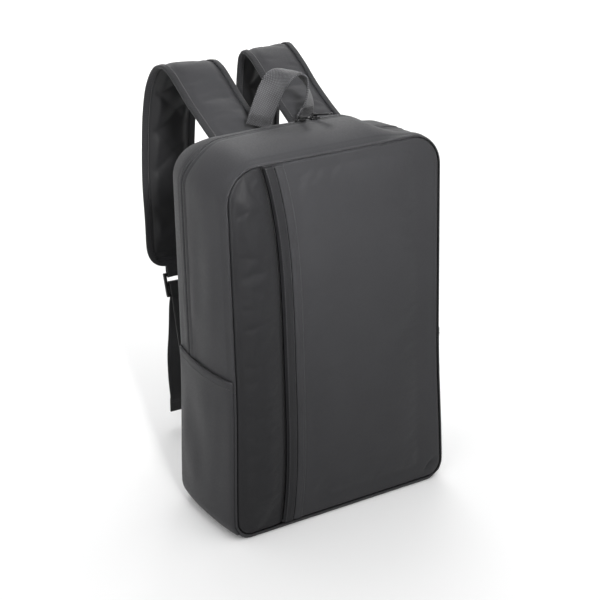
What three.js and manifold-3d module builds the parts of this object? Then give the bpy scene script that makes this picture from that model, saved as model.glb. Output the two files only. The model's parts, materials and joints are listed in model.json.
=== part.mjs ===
// A laptop backpack in millimetres, +Z up, standing on its bottom panel.
// The front faces -Y, the shoulder straps stand out behind it, towards +Y.
import * as THREE from "three";
import { mergeVertices } from "three/addons/utils/BufferGeometryUtils.js";
import Module from "manifold-3d";

// Bag body
const frontWidth = 270; // front panel, side seam to side seam, above the side pockets
const frontTop = 428; // top seam of the front above the floor
const seamLift = 4; // bottom seams above the floor
const footDepth = 125; // front seam to back seam at the floor
const topDepth = 114; // the same at the top
const frontLean = 22; // how far the front leans back over its height
const backExtra = 3; // half of what the back is wider than the front
const backDrop = 4; // top back seam below the top front seam
const topCornerRadius = 38;
const bottomCornerRadius = 21;
const sideBulge = 7; // how far a side swells past its seams
const topBulge = 15; // how far the top is domed
const topTaper = 0.35; // share of the dome that is lost towards the corners
const topSlump = 6; // how far the top sinks at its right end, where nothing holds it up
const slumpStart = 50; // right of the middle, where it begins to sink
const slumpWidth = 60;
const footRoll = 5; // round between the seams and the flat bottom
const pocketFlare = 6; // half of what the foot of the bag is wider, below the side pockets' mouths

// Cloth and padding
const gussetThickness = 2.8;
const frontThickness = 6; // padded front with its zipped pocket
const backThickness = 4.5; // padded back
const stripThickness = 2.5;
const pocketThickness = 1.6;
const lipWidth = 5; // folded edge of the gusset that laps the front
const clearance = 0.3; // between sewn pieces

// Front pocket
const frontCrown = 3; // how far the padded front is domed
const stripBulge = 7; // how far the strip left of the zip swells
const stripTuck = 2; // how far its edge turns in at the zip
const zipOffset = 73; // zip line left of the middle
const zipSweep = 20; // how far the line swings out at the top
const zipWaist = 195; // height where the line is nearest the middle
const frontZipGap = 3;
const frontTapeWidth = 22;
const stripeWidth = 11.5; // each of the two stripes beside the zip
const stripeThickness = 1.4;

// Main zip
const mainZipGap = 1.8;
const mainTapeWidth = 22;
const tapeThickness = 1;
const coilInset = 0.8; // top of the coil below the cloth
const zipSideShare = 0.73; // place of the zip on the side, as a share of the depth
const zipTopShare = 0.665; // the same on the top
const zipCornerDip = 0.05; // how far it swings forward at the corners

// Side pockets
const pocketHeight = 194;
const pocketGap = 0.6; // between a pocket and the side behind it
const pocketEase = 1.4; // how far the mouth stands off the side
const pocketTuck = 12; // overlap of the upper gusset behind the mouth

// Zip sliders and pulls
const sliderLength = 10;
const sliderWidth = 8;
const sliderThickness = 2.4;
const sliderNeck = 1;
const neckShare = 0.6; // of the slider's length
const barRadius = 0.7;
const pivotHeight = 5.2;
const knuckleRadius = 1.9;
const knuckleGap = 0.35;
const postSpan = 8;
const postThickness = 1.2;
const postDepth = 2;
const postSink = 0.4; // how far a post runs into the plate
const pullLength = 26;
const pullWidth = 7;
const pullThickness = 1.8;
const pullNeck = 4;
const pullLap = 0.5; // how far the neck runs into the knuckle

// Carrying handle
const topOffset = -4; // middle of the handle and the straps from the middle of the bag
const handleSpan = 59;
const handleRise = 56;
const handleWidth = 28;
const handleThickness = 2;
const handleInset = 6; // its feet in front of the back seam

// Shoulder straps
const strapSpread = 51; // middle of a strap's root from the middle of both
const strapWidth = 68;
const strapReach = 170; // how far a strap stands out behind the bag
const strapRise = 55; // ridge above the root
const strapDrop = 206; // pad's lower end below the root
const strapShift = 4; // how far the hanging part swings outwards
const padUpper = 3.2; // outer half of the pad's thickness
const padLower = 2.2; // inner half, under the lining
const padEdge = 0.8; // half thickness where the binding holds the pad
const padShoulder = 6; // width over which the pad swells beside its binding
const liningThickness = 1;
const bindingLap = 8;
const bindingThickness = 1;
const tipRound = 2; // how far the middle of a pad's end stands past its corners
const rootDepth = 2.5; // middle of the root below the back seam

// Webbing and its hardware
const webWidth = 25;
const webThickness = 1.4;
const hemLength = 18;
const tailLength = 158;
const anchorOut = 108;
const anchorHeight = 20;
const anchorLength = 24;
const anchorThickness = 2.4;
const webSag = 4; // how far the webbing below the lock sags
const lockWidth = 36;
const lockLength = 30;
const lockThickness = 3.5;
const lockRail = 4;
const lockBar = 3.6;
const tabReach = 7;
const webEntry = 3; // where the webbing comes up to the lock, past its end
const webExit = 1; // where its free end leaves

// Materials
const cloth = (color, roughness = 0.85) => new THREE.MeshStandardMaterial({ color, roughness, metalness: 0 });
const polyester = cloth(0x4a4a4c);
const darkPolyester = cloth(0x38383a);
const bindingCloth = cloth(0x3c3c3e, 0.8);
const liningCloth = cloth(0x29292b, 0.95);
const webbing = cloth(0x58585a, 0.75);
const zipTape = cloth(0x1c1c1e, 0.7);
const nylon = new THREE.MeshStandardMaterial({ color: 0x1e1e20, roughness: 0.45, metalness: 0 });
const blackMetal = new THREE.MeshStandardMaterial({ color: 0x232325, roughness: 0.35, metalness: 0.8 });

const wasm = await Module();
wasm.setup();

const { lerp, smoothstep, degToRad } = THREE.MathUtils;
const V = (x, y, z) => new THREE.Vector3(x, y, z);
const shares = (count) => Array.from({ length: count + 1 }, (_, i) => i / count);
const backpack = new THREE.Group();

function addMesh(name, geometry, material, parent = backpack) {
  const mesh = new THREE.Mesh(geometry, material);
  mesh.name = name;
  parent.add(mesh);
  return mesh;
}

// A closed sheet between two grids of points of one size: outer[i][j] lies over inner[i][j].
function sheet(outer, inner) {
  const rows = outer.length;
  const columns = outer[0].length;
  const points = [...outer.flat(), ...inner.flat()];
  const at = (side, i, j) => side * rows * columns + i * columns + j;
  const faces = [];
  const quad = (a, b, c, d) => faces.push(a, b, c, a, c, d);
  for (let i = 0; i < rows - 1; i++) {
    for (let j = 0; j < columns - 1; j++) {
      quad(at(0, i, j), at(0, i + 1, j), at(0, i + 1, j + 1), at(0, i, j + 1));
      quad(at(1, i, j), at(1, i, j + 1), at(1, i + 1, j + 1), at(1, i + 1, j));
    }
    quad(at(0, i, 0), at(1, i, 0), at(1, i + 1, 0), at(0, i + 1, 0));
    quad(at(0, i, columns - 1), at(0, i + 1, columns - 1), at(1, i + 1, columns - 1), at(1, i, columns - 1));
  }
  for (let j = 0; j < columns - 1; j++) {
    quad(at(0, 0, j), at(0, 0, j + 1), at(1, 0, j + 1), at(1, 0, j));
    quad(at(0, rows - 1, j), at(1, rows - 1, j), at(1, rows - 1, j + 1), at(0, rows - 1, j + 1));
  }
  const geometry = new THREE.BufferGeometry().setFromPoints(points);
  geometry.setIndex(facesOutward(points, faces) ? faces : flipped(faces));
  geometry.computeVertexNormals();
  return geometry;
}

function facesOutward(points, faces) {
  let volume = 0;
  for (let k = 0; k < faces.length; k += 3) {
    const [a, b, c] = [points[faces[k]], points[faces[k + 1]], points[faces[k + 2]]];
    volume += a.dot(V(0, 0, 0).crossVectors(b, c));
  }
  return volume > 0;
}

function flipped(faces) {
  const turned = [];
  for (let k = 0; k < faces.length; k += 3) turned.push(faces[k], faces[k + 2], faces[k + 1]);
  return turned;
}

// Joining and cutting
function toSolid(geometry) {
  const bare = geometry.clone();
  bare.deleteAttribute("normal");
  bare.deleteAttribute("uv");
  const merged = mergeVertices(bare, 1e-4);
  return new wasm.Manifold(
    new wasm.Mesh({
      numProp: 3,
      vertProperties: new Float32Array(merged.attributes.position.array),
      triVerts: new Uint32Array(merged.index.array),
    }),
  );
}

function toGeometry(solid) {
  const mesh = solid.getMesh();
  const geometry = new THREE.BufferGeometry();
  geometry.setAttribute("position", new THREE.BufferAttribute(mesh.vertProperties, 3));
  geometry.setIndex(new THREE.BufferAttribute(mesh.triVerts, 1));
  geometry.computeVertexNormals();
  return geometry;
}

const joined = (...geometries) => toGeometry(geometries.map(toSolid).reduce((all, one) => all.add(one)));

// Shape of the bag
const halfWidth = frontWidth / 2;
const depthAt = (z) => lerp(footDepth, topDepth, z / frontTop);
const frontY = (z) => -footDepth / 2 + (frontLean * z) / frontTop;
const backY = (z) => frontY(z) + depthAt(z);
const flare = (z) => pocketFlare * (1 - smoothstep(z, 0, pocketHeight));
const sunk = (x) => smoothstep(x, slumpStart, slumpStart + slumpWidth);

// The front seam's outline, as the places that a strip is sewn along: a point, its outward direction.
function outline(curves) {
  const places = [];
  for (const [curve, steps] of curves) {
    for (const share of shares(steps)) {
      const p = curve.getPoint(share);
      const last = places[places.length - 1];
      if (last && Math.hypot(last.x - p.x, last.z - p.y) < 0.01) continue;
      const along = curve.getTangent(share);
      places.push({ x: p.x, z: p.y, nx: -along.y, nz: along.x });
    }
  }
  return places;
}

const point2 = (x, y) => new THREE.Vector2(x, y);
const straight = (x0, z0, x1, z1) => new THREE.LineCurve(point2(x0, z0), point2(x1, z1));
const corner = (x, z, radius, from, to) => new THREE.EllipseCurve(x, z, radius, radius, from, to, true);
const topRun = halfWidth - topCornerRadius;
const footRun = halfWidth - bottomCornerRadius;
const topBend = frontTop - topCornerRadius;
const footBend = seamLift + bottomCornerRadius;
const gussetSplit = pocketHeight - pocketTuck;

// Each run goes clockwise seen from the front: up the left side, over the top and down the right.
const leftUpper = [straight(-halfWidth, gussetSplit, -halfWidth, topBend), 5];
const topLeft = [corner(-topRun, topBend, topCornerRadius, Math.PI, Math.PI / 2), 5];
const topLine = [straight(-topRun, frontTop, topRun, frontTop), 6];
const topRight = [corner(topRun, topBend, topCornerRadius, Math.PI / 2, 0), 5];
const rightUpper = [straight(halfWidth, topBend, halfWidth, gussetSplit), 5];
const rightLower = [straight(halfWidth, gussetSplit - clearance, halfWidth, footBend), 5];
const footRight = [corner(footRun, footBend, bottomCornerRadius, 0, -Math.PI / 2), 4];
const footLine = [straight(footRun, seamLift, -footRun, seamLift), 4];
const footLeft = [corner(-footRun, footBend, bottomCornerRadius, -Math.PI / 2, -Math.PI), 4];
const leftLower = [straight(-halfWidth, footBend, -halfWidth, gussetSplit - clearance), 5];
const upperRun = outline([leftUpper, topLeft, topLine, topRight, rightUpper]);
const lowerRun = outline([rightLower, footRight, footLine, footLeft, leftLower]);
const leftEdge = outline([footLeft, [straight(-halfWidth, footBend, -halfWidth, topBend), 9], topLeft]);

// A point of the gusset's outer face: t runs from the front seam to the back seam,
// lift is along the outward direction.
function place(spot, t, lift = 0) {
  const side = spot.nx ** 2;
  const up = Math.max(spot.nz, 0) ** 2;
  const down = Math.max(-spot.nz, 0) ** 2;
  const crown = 1 - Math.abs(2 * t - 1) ** 2.4;
  const toEdge = Math.min(t, 1 - t) * depthAt(spot.z);
  const roll = toEdge < footRoll ? Math.sqrt(1 - (1 - toEdge / footRoll) ** 2) : 1;
  const dome = topBulge * (1 - topTaper * (spot.x / halfWidth) ** 2) * (1 - sunk(spot.x));
  const slump = up * sunk(spot.x) * topSlump * smoothstep(t, 0.1, 0.45);
  const out = (side * sideBulge + up * dome) * crown + down * seamLift * roll + lift;
  const z = spot.z - up * backDrop * t - slump + spot.nz * out;
  const wider = 1 + (flare(spot.z) + backExtra * t) / halfWidth;
  return V(spot.x * wider + spot.nx * out, lerp(frontY(z), backY(z), t), z);
}

const zipShare = (spot) => {
  const up = Math.max(spot.nz, 0) ** 2;
  return lerp(zipSideShare, zipTopShare, up) - zipCornerDip * 4 * spot.nx ** 2 * up;
};
const shareOf = (length) => length / topDepth;
const topSpot = (x) => ({ x, z: frontTop, nx: 0, nz: 1 });

// A strip sewn along a run of the outline, between the depth shares that first and last give.
function strip(run, first, last, steps, outerLift, innerLift) {
  const grid = (lift) =>
    run.map((spot) => shares(steps).map((s) => place(spot, lerp(first(spot), last(spot), s), lift)));
  return sheet(grid(outerLift), grid(innerLift));
}

// A strip with the folded lip that laps the front panel.
function lippedStrip(run, last, stations) {
  const fold = gussetThickness / footDepth;
  const outer = (spot) => [
    place(spot, 0, -lipWidth),
    place(spot, 0, -gussetThickness / 2),
    ...stations.map((s) => place(spot, lerp(fold / 2, last(spot), s), 0)),
  ];
  const inner = (spot) => [
    place(spot, fold, -lipWidth),
    place(spot, fold, -gussetThickness * 1.2),
    ...stations.map((s) => place(spot, lerp(fold * 1.3, last(spot), s), -gussetThickness)),
  ];
  return sheet(run.map(outer), run.map(inner));
}

function buildGussets() {
  const half = shareOf(mainZipGap / 2);
  const front = (spot) => zipShare(spot) - half;
  const back = (spot) => zipShare(spot) + half;
  addMesh("gusset_front", lippedStrip(upperRun, front, shares(5)), polyester);
  addMesh("gusset_back", strip(upperRun, back, () => 1, 4, 0, -gussetThickness), polyester);
  const roll = footRoll / footDepth;
  const stations = [0, roll, 0.18, 0.34, 0.5, 0.66, 0.82, 1 - roll, 1];
  addMesh("gusset_lower", lippedStrip(lowerRun, () => 1, stations), polyester);
}

function buildMainZip() {
  const seat = gussetThickness + clearance;
  const edge = (width) => [
    (spot) => zipShare(spot) - shareOf(width / 2),
    (spot) => zipShare(spot) + shareOf(width / 2),
  ];
  const tape = edge(mainTapeWidth);
  const coil = edge(mainZipGap - 2 * clearance);
  addMesh("main_zip_tape", strip(upperRun, ...tape, 2, -seat, -seat - tapeThickness), zipTape);
  addMesh("main_zip_coil", strip(upperRun, ...coil, 1, -coilInset, clearance - seat), nylon);
}

function buildSidePockets() {
  const reach = Math.PI / 4;
  const split = gussetSplit - clearance;
  const runs = [
    ["side_pocket_left", outline([
      [corner(-footRun, footBend, bottomCornerRadius, -Math.PI + reach, -Math.PI), 2],
      leftLower,
      [straight(-halfWidth, split, -halfWidth, pocketHeight), 1],
    ])],
    ["side_pocket_right", outline([
      [straight(halfWidth, pocketHeight, halfWidth, split), 1],
      rightLower,
      [corner(footRun, footBend, bottomCornerRadius, 0, -reach), 2],
    ])],
  ];
  for (const [name, run] of runs) {
    const grid = (thickness) =>
      run.map((spot) =>
        shares(6).map((s) => {
          const ease = pocketEase * smoothstep(spot.z, pocketHeight * 0.8, pocketHeight) * (1 - (2 * s - 1) ** 4);
          return place(spot, lerp(0.02, 0.985, s), pocketGap + ease + thickness);
        }),
      );
    addMesh(name, sheet(grid(pocketThickness), grid(0)), polyester);
  }
}

// Front: the panel, the swelling strip, the zip between them and the two stripes
const zipLine = (z) => -zipOffset - zipSweep * Math.abs((z - zipWaist) / (frontTop - zipWaist)) ** 3.5;
const frontRows = leftEdge.map((spot) => place(spot, 0, -gussetThickness - clearance));
const frontRecess = gussetThickness + clearance;

function frontSkin(x, z, edge) {
  const bottom = frontRows[0].z;
  const top = frontRows[frontRows.length - 1].z;
  const toEdge = Math.min(-edge - Math.abs(x), z - bottom, top - z);
  return frontY(z) + frontRecess - frontCrown * smoothstep(toEdge, lipWidth, lipWidth + 45);
}

function frontSheet(left, right, columns, outerY, innerY) {
  const grid = (depth) =>
    frontRows.map((row) =>
      shares(columns).map((s) => {
        const x = lerp(left(row), right(row), s);
        return V(x, frontSkin(x, row.z, row.x) + depth(s, row), row.z);
      }),
    );
  return sheet(grid(outerY), grid(innerY));
}

function buildFront() {
  const gap = frontZipGap / 2;
  const onZip = (offset) => (row) => zipLine(row.z) + offset;
  const flat = (depth) => () => depth;
  const panel = frontSheet(onZip(gap), (row) => -row.x, 8, flat(0), flat(frontThickness));
  addMesh("front_panel", panel, polyester);

  const bottom = frontRows[0].z;
  const top = frontRows[frontRows.length - 1].z;
  const swell = (s, row) => {
    const free = smoothstep(Math.min(row.z - bottom, top - row.z), lipWidth, lipWidth + 40);
    const past = smoothstep(s, 0.1, 0.35);
    return stripTuck * s ** 6 - stripBulge * free * past * Math.sin(Math.PI * s) ** 0.7;
  };
  const pocket = frontSheet((row) => row.x, onZip(-gap), 8, swell, (s, row) => swell(s, row) + stripThickness);
  addMesh("front_pocket_panel", pocket, darkPolyester);

  const raised = flat(-clearance - stripeThickness);
  const seat = flat(-clearance);
  const weltEnd = gap + stripeWidth;
  const bandEnd = weltEnd + clearance + stripeWidth;
  const lapped = (offset) => (row) => Math.max(onZip(offset)(row), row.x + lipWidth);
  const stripe = (from, to) => stripeSheet(lapped(from), lapped(to), raised, seat);
  addMesh("front_zip_welt", stripe(gap + clearance, weltEnd), darkPolyester);
  addMesh("front_zip_band", stripe(weltEnd + clearance, bandEnd), polyester);

  const behind = frontThickness + clearance;
  const half = frontTapeWidth / 2;
  const tape = frontSheet(onZip(-half), onZip(half), 2, flat(behind), flat(behind + tapeThickness));
  addMesh("front_zip_tape", tape, zipTape);
  const coilEdge = gap - clearance;
  const coilTop = frontThickness / 2;
  const coil = frontSheet(onZip(-coilEdge), onZip(coilEdge), 1, flat(coilTop), flat(frontThickness));
  addMesh("front_zip_coil", coil, nylon);
}

// A stripe stays below and above the lip that laps the front.
function stripeSheet(left, right, outerY, innerY) {
  const bottom = frontRows[0].z + lipWidth;
  const top = frontRows[frontRows.length - 1].z - lipWidth;
  const rows = frontRows.filter((row) => row.z > bottom && row.z < top);
  const grid = (depth) =>
    rows.map((row) =>
      shares(2).map((s) => {
        const x = lerp(left(row), right(row), s);
        return V(x, frontSkin(x, row.z, row.x) + depth(s, row), row.z);
      }),
    );
  return sheet(grid(outerY), grid(innerY));
}

function buildBack() {
  const grid = (thickness) =>
    leftEdge.map((spot) => {
      const edge = place(spot, 1, -gussetThickness - clearance);
      return shares(6).map((s) => {
        const x = lerp(edge.x, -edge.x, s);
        const z = edge.z - Math.max(spot.nz, 0) ** 2 * topSlump * sunk(x);
        return V(x, backY(z) - thickness, z);
      });
    });
  addMesh("back_panel", sheet(grid(0), grid(backThickness)), polyester);
}

// Zip sliders with their pulls: across is the place along the zip, turn is how far the pull points aside.
const sliders = [
  { side: "left", across: 1, turn: -6 },
  { side: "right", across: 19, turn: 17 },
];

function buildSlider({ side, across, turn }) {
  const spot = topSpot(across);
  const t = zipShare(spot);
  const seat = place(spot, t);
  const slope = place(spot, t + 0.01).sub(place(spot, t - 0.01)).normalize();
  const group = new THREE.Group();
  group.position.copy(seat);
  group.rotation.x = Math.atan2(slope.z, slope.y);
  backpack.add(group);

  const box = (x, y, z, cx, cy, cz) => new THREE.BoxGeometry(x, y, z).translate(cx, cy, cz);
  const plateTop = clearance + sliderThickness;
  const plate = box(sliderLength, sliderWidth, sliderThickness, 0, 0, clearance + sliderThickness / 2);
  const neckBottom = clearance - coilInset;
  const neckHeight = plateTop - neckBottom;
  const neck = box(sliderLength * neckShare, sliderNeck, neckHeight, 0, 0, neckBottom + neckHeight / 2);
  const yaw = degToRad(turn);
  const postBottom = plateTop - postSink;
  const postHeight = pivotHeight + barRadius - postBottom;
  const postOut = (postSpan - postThickness) / 2;
  const posts = [-postOut, postOut].map((x) =>
    box(postThickness, postDepth, postHeight, x, 0, postBottom + postHeight / 2).rotateZ(yaw));
  const bar = new THREE.CylinderGeometry(barRadius, barRadius, postSpan - postThickness, 12)
    .rotateZ(Math.PI / 2).translate(0, 0, pivotHeight).rotateZ(yaw);
  addMesh("zip_slider_" + side, joined(plate, neck, ...posts, bar), blackMetal, group);

  const pull = new THREE.Group();
  pull.position.set(0, 0, pivotHeight);
  const cloth = place(spot, t - shareOf(pullLength)).z + clearance + pullThickness / 2;
  const droop = Math.asin((seat.z + pivotHeight - cloth) / pullLength) + group.rotation.x;
  pull.rotation.set(droop, 0, yaw, "ZXY");
  group.add(pull);
  addMesh("zip_pull_" + side, buildPull(), blackMetal, pull);
}

// The pull lies along -Y from the bar that its knuckle turns on.
function buildPull() {
  const knuckleLength = postSpan - 2 * postThickness - 2 * knuckleGap;
  const ring = new THREE.Shape().absarc(0, 0, knuckleRadius, 0, 2 * Math.PI, false);
  ring.holes.push(new THREE.Path().absarc(0, 0, barRadius + knuckleGap, 0, 2 * Math.PI, true));
  const knuckle = new THREE.ExtrudeGeometry(ring, { depth: knuckleLength, bevelEnabled: false, curveSegments: 6 })
    .translate(0, 0, -knuckleLength / 2).rotateY(Math.PI / 2);
  const neckStart = pullLap - knuckleRadius;
  const neck = new THREE.BoxGeometry(knuckleLength, pullNeck, pullThickness)
    .translate(0, neckStart - pullNeck / 2, 0);
  const round = pullWidth / 2;
  const tabStart = neckStart - pullNeck + 2 * pullLap;
  const tab = new THREE.Shape();
  tab.moveTo(-round, tabStart);
  tab.lineTo(-round, round - pullLength);
  tab.absarc(0, round - pullLength, round, Math.PI, 2 * Math.PI, false);
  tab.lineTo(round, tabStart);
  tab.closePath();
  const plate = new THREE.ExtrudeGeometry(tab, { depth: pullThickness, bevelEnabled: false, curveSegments: 6 })
    .translate(0, 0, -pullThickness / 2);
  return joined(knuckle, neck, plate);
}

// A band along a route of places, each with its middle, width direction and outward direction.
// across gives the distances from the middle where the band's faces have points.
function band(route, across, outer, inner) {
  const grid = (lift) =>
    route.map((p, i) =>
      across(p, i).map((x) =>
        p.middle.clone().addScaledVector(p.width, x).addScaledVector(p.out, lift(x, p, i))),
    );
  return sheet(grid(outer), grid(inner));
}

const even = (columns, half) => (p, i) => shares(columns).map((s) => (2 * s - 1) * half(p, i));
const mirrored = (distances) => [...distances.map((x) => -x), 0, ...distances.toReversed()];

// Values of a table's column, run smoothly through its rows
function column(rows, name, share) {
  const place = share * (rows.length - 1);
  const k = Math.min(Math.floor(place), rows.length - 2);
  return lerp(rows[k][name], rows[k + 1][name], place - k);
}

// Handle: out is a share of half the span, up of the rise, turn is how far the webbing has twisted.
const handleRows = [
  { out: -1, up: 0, turn: 14 },
  { out: -0.86, up: 0.22, turn: 18 },
  { out: -0.68, up: 0.44, turn: 22 },
  { out: -0.46, up: 0.68, turn: 28 },
  { out: -0.2, up: 0.88, turn: 38 },
  { out: 0.12, up: 0.98, turn: 50 },
  { out: 0.5, up: 1, turn: 64 },
  { out: 0.82, up: 0.93, turn: 84 },
  { out: 1.03, up: 0.76, turn: 106 },
  { out: 1.18, up: 0.5, turn: 126 },
  { out: 1.2, up: 0.24, turn: 146 },
  { out: 1.06, up: 0, turn: 166 },
];

function buildHandle() {
  const y = backY(frontTop) - handleInset;
  const t = (y - frontY(frontTop)) / topDepth;
  const reach = (handleWidth / 2) * Math.sin(degToRad(handleRows[0].turn)) + handleThickness;
  const foot = place(topSpot(0), t - reach / topDepth).z + clearance;
  const curve = new THREE.CatmullRomCurve3(
    handleRows.map((r) => V(topOffset + (r.out * handleSpan) / 2, y, foot + r.up * handleRise)));
  const route = shares(24).map((s) => {
    const along = s === 0 ? V(0, 0, 1) : s === 1 ? V(0, 0, -1) : curve.getTangent(s);
    const turn = degToRad(column(handleRows, "turn", s));
    const width = V(Math.cos(turn), -Math.sin(turn), 0);
    width.addScaledVector(along, -width.dot(along)).normalize();
    return { middle: curve.getPoint(s), width, out: V(0, 0, 0).crossVectors(width, along) };
  });
  const half = handleThickness / 2;
  const flat = band(route, even(2, () => handleWidth / 2), () => half, () => -half);
  addMesh("top_handle", flat, webbing);
}

// Strap routes from the root: out is a share of the reach, up of the rise, down of the drop, half of the width,
// shift of the outward swing, and turn is how far the strap faces inwards, in degrees.
const tip = [
  { out: -0.004, up: 0, down: 0.9, half: 0.99, turn: 5 },
  { out: -0.02, up: 0, down: 0.945, half: 0.94, turn: 5 },
  { out: -0.0325, up: 0, down: 0.98, half: 0.82, turn: 5 },
  { out: -0.04, up: 0, down: 1, half: 0.62, turn: 5 },
];
const routes = {
  left: [
    { out: 0, up: 0, down: 0, half: 1, shift: 0, turn: 0 },
    { out: 0.126, up: 0.2, down: 0, half: 1, shift: 0, turn: 3 },
    { out: 0.309, up: 0.48, down: 0, half: 1, shift: 0, turn: 6 },
    { out: 0.457, up: 0.75, down: 0, half: 1, shift: 0, turn: 8 },
    { out: 0.571, up: 0.94, down: 0, half: 1, shift: 0, turn: 9 },
    { out: 0.669, up: 1, down: 0, half: 1, shift: 0.1, turn: 10 },
    { out: 0.783, up: 0.88, down: 0, half: 1, shift: 0.2, turn: 9 },
    { out: 0.897, up: 0.45, down: 0, half: 1, shift: 0.4, turn: 7 },
    { out: 0.96, up: 0, down: 0.045, half: 1, shift: 0.6, turn: 6 },
    { out: 0.99, up: 0, down: 0.25, half: 1, shift: 0.8, turn: 5 },
    { out: 1, up: 0, down: 0.48, half: 1, shift: 1, turn: 5 },
    { out: 0.985, up: 0, down: 0.71, half: 1, shift: 1, turn: 5 },
  ],
  right: [
    { out: 0, up: 0, down: 0, half: 1, shift: 0, turn: 0 },
    { out: 0.126, up: 0.179, down: 0, half: 1, shift: 0.1, turn: 3 },
    { out: 0.309, up: 0.473, down: 0, half: 1, shift: 0.3, turn: 5 },
    { out: 0.5, up: 0.84, down: 0, half: 1, shift: 0.6, turn: 7 },
    { out: 0.64, up: 1.029, down: 0, half: 1, shift: 0.9, turn: 8 },
    { out: 0.72, up: 1.05, down: 0, half: 1, shift: 1.1, turn: 9 },
    { out: 0.79, up: 0.903, down: 0, half: 1, shift: 1.2, turn: 10 },
    { out: 0.83, up: 0.473, down: 0, half: 1, shift: 1.3, turn: 10 },
    { out: 0.85, up: 0, down: 0.045, half: 1, shift: 1.4, turn: 9 },
    { out: 0.87, up: 0, down: 0.25, half: 1, shift: 1.4, turn: 8 },
    { out: 0.88, up: 0, down: 0.48, half: 1, shift: 1.4, turn: 6 },
    { out: 0.87, up: 0, down: 0.71, half: 1, shift: 1.4, turn: 5 },
  ],
};

function strapRoute(side, rows) {
  const hand = side === "left" ? -1 : 1;
  const rootZ = frontTop - backDrop - rootDepth;
  const last = rows[rows.length - 1];
  const all = [...rows, ...tip.map((row) => ({ ...row, out: last.out + row.out, shift: last.shift }))];
  const curve = new THREE.CatmullRomCurve3(
    all.map((r) =>
      V(topOffset + hand * (strapSpread + strapShift * r.shift), backY(rootZ) + clearance + strapReach * r.out,
        rootZ + strapRise * r.up - strapDrop * r.down)));
  const steps = Math.round(1.6 * (all.length - 1));
  const halfAt = (s) => (strapWidth / 2) * column(all, "half", s);
  const end = curve.getPoint(1);
  return shares(steps).map((s, i) => {
    const along = curve.getTangent(s);
    if (i === 0) along.setX(0).normalize();
    const turn = degToRad(column(all, "turn", s));
    const width = V(Math.cos(turn), hand * Math.sin(turn), 0);
    width.addScaledVector(along, -width.dot(along)).normalize();
    const backSlope = (backY(rootZ) - backY(0)) / rootZ;
    const out = i === 0 ? V(0, backSlope, 1).normalize() : V(0, 0, 0).crossVectors(width, along);
    const middle = curve.getPoint(s);
    const slope = (a, b) => (halfAt(a) - halfAt(b)) / Math.max(curve.getPoint(a).distanceTo(curve.getPoint(b)), 1);
    const narrowing = Math.max(slope(Math.max(s - 1 / steps, 0), s), slope(s, Math.min(s + 1 / steps, 1)));
    return { middle, width, out, along, narrowing, half: halfAt(s), toTip: middle.distanceTo(end) };
  });
}

// The pad's edge goes down one side, round the tip and up the other:
// middle is a point of it, width points out of the pad.
function padBoundary(route) {
  const end = route[route.length - 1];
  const sideOf = (sign) =>
    route.map((p) => ({ p, at: p.middle.clone().addScaledVector(p.width, sign * p.half), sign }));
  const nose = { p: end, at: end.middle.clone().addScaledVector(end.along, tipRound), sign: 0 };
  const points = [...sideOf(-1), nose, ...sideOf(1).reverse()];
  return points.map(({ p, at, sign }, i) => {
    if (p.toTip > 2 * bindingLap) return { middle: at, width: p.width.clone().multiplyScalar(sign), out: p.out };
    const along = points[i + 1].at.clone().sub(points[i - 1].at).normalize();
    return { middle: at, width: V(0, 0, 0).crossVectors(p.out, along).normalize(), out: p.out };
  });
}

function buildStrap(side) {
  const route = strapRoute(side, routes[side]);
  const last = route.length - 1;
  const grip = bindingThickness + clearance;
  const inset = (p) => (grip + clearance) * Math.hypot(1, p.narrowing);
  const shoulder = bindingLap + padShoulder;
  const rise = (edge) => (across, p) => {
    const toEdge = Math.min(p.half - Math.abs(across), p.toTip - bindingLap);
    return lerp(padEdge, edge, smoothstep(toEdge, bindingLap, shoulder));
  };
  const upper = rise(padUpper);
  const lower = rise(padLower);
  const end = route[last];
  const short = grip + tipRound;
  const padEnd = { ...end, middle: end.middle.clone().addScaledVector(end.along, -short) };
  const padRoute = [...route.filter((p) => p.toTip > short + clearance), padEnd];
  const padColumns = (p) => mirrored([p.half - inset(p), p.half - bindingLap, p.half - shoulder]);
  const pad = band(padRoute, padColumns, upper, (across, p) => -lower(across, p));
  addMesh("strap_pad_" + side, pad, polyester);

  const face = padEdge + clearance;
  const cover = face + bindingThickness;
  const edge = padBoundary(route);
  const section = (lap, e, h) => [[lap, h], [e, h], [e, -h], [lap, -h]];
  const hem = (corners) =>
    edge.map((b) =>
      corners.map(([out, lift]) => b.middle.clone().addScaledVector(b.width, out).addScaledVector(b.out, lift)));
  const binding = sheet(hem(section(-bindingLap, 0, cover)), hem(section(-bindingLap, -bindingThickness, face)));
  addMesh("strap_binding_" + side, binding, bindingCloth);

  const inside = route.filter((p) => p.toTip > bindingLap + tipRound);
  const liningEdge = (p) => p.half - (bindingLap + 2 * clearance) * Math.hypot(1, p.narrowing);
  const liningColumns = (p) => mirrored([liningEdge(p), p.half - shoulder]);
  const under = (depth) => (across, p) => -lower(across, p) - depth;
  const cloth = band(inside, liningColumns, under(clearance), under(clearance + liningThickness));
  addMesh("strap_lining_" + side, cloth, liningCloth);
  return end;
}

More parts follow.
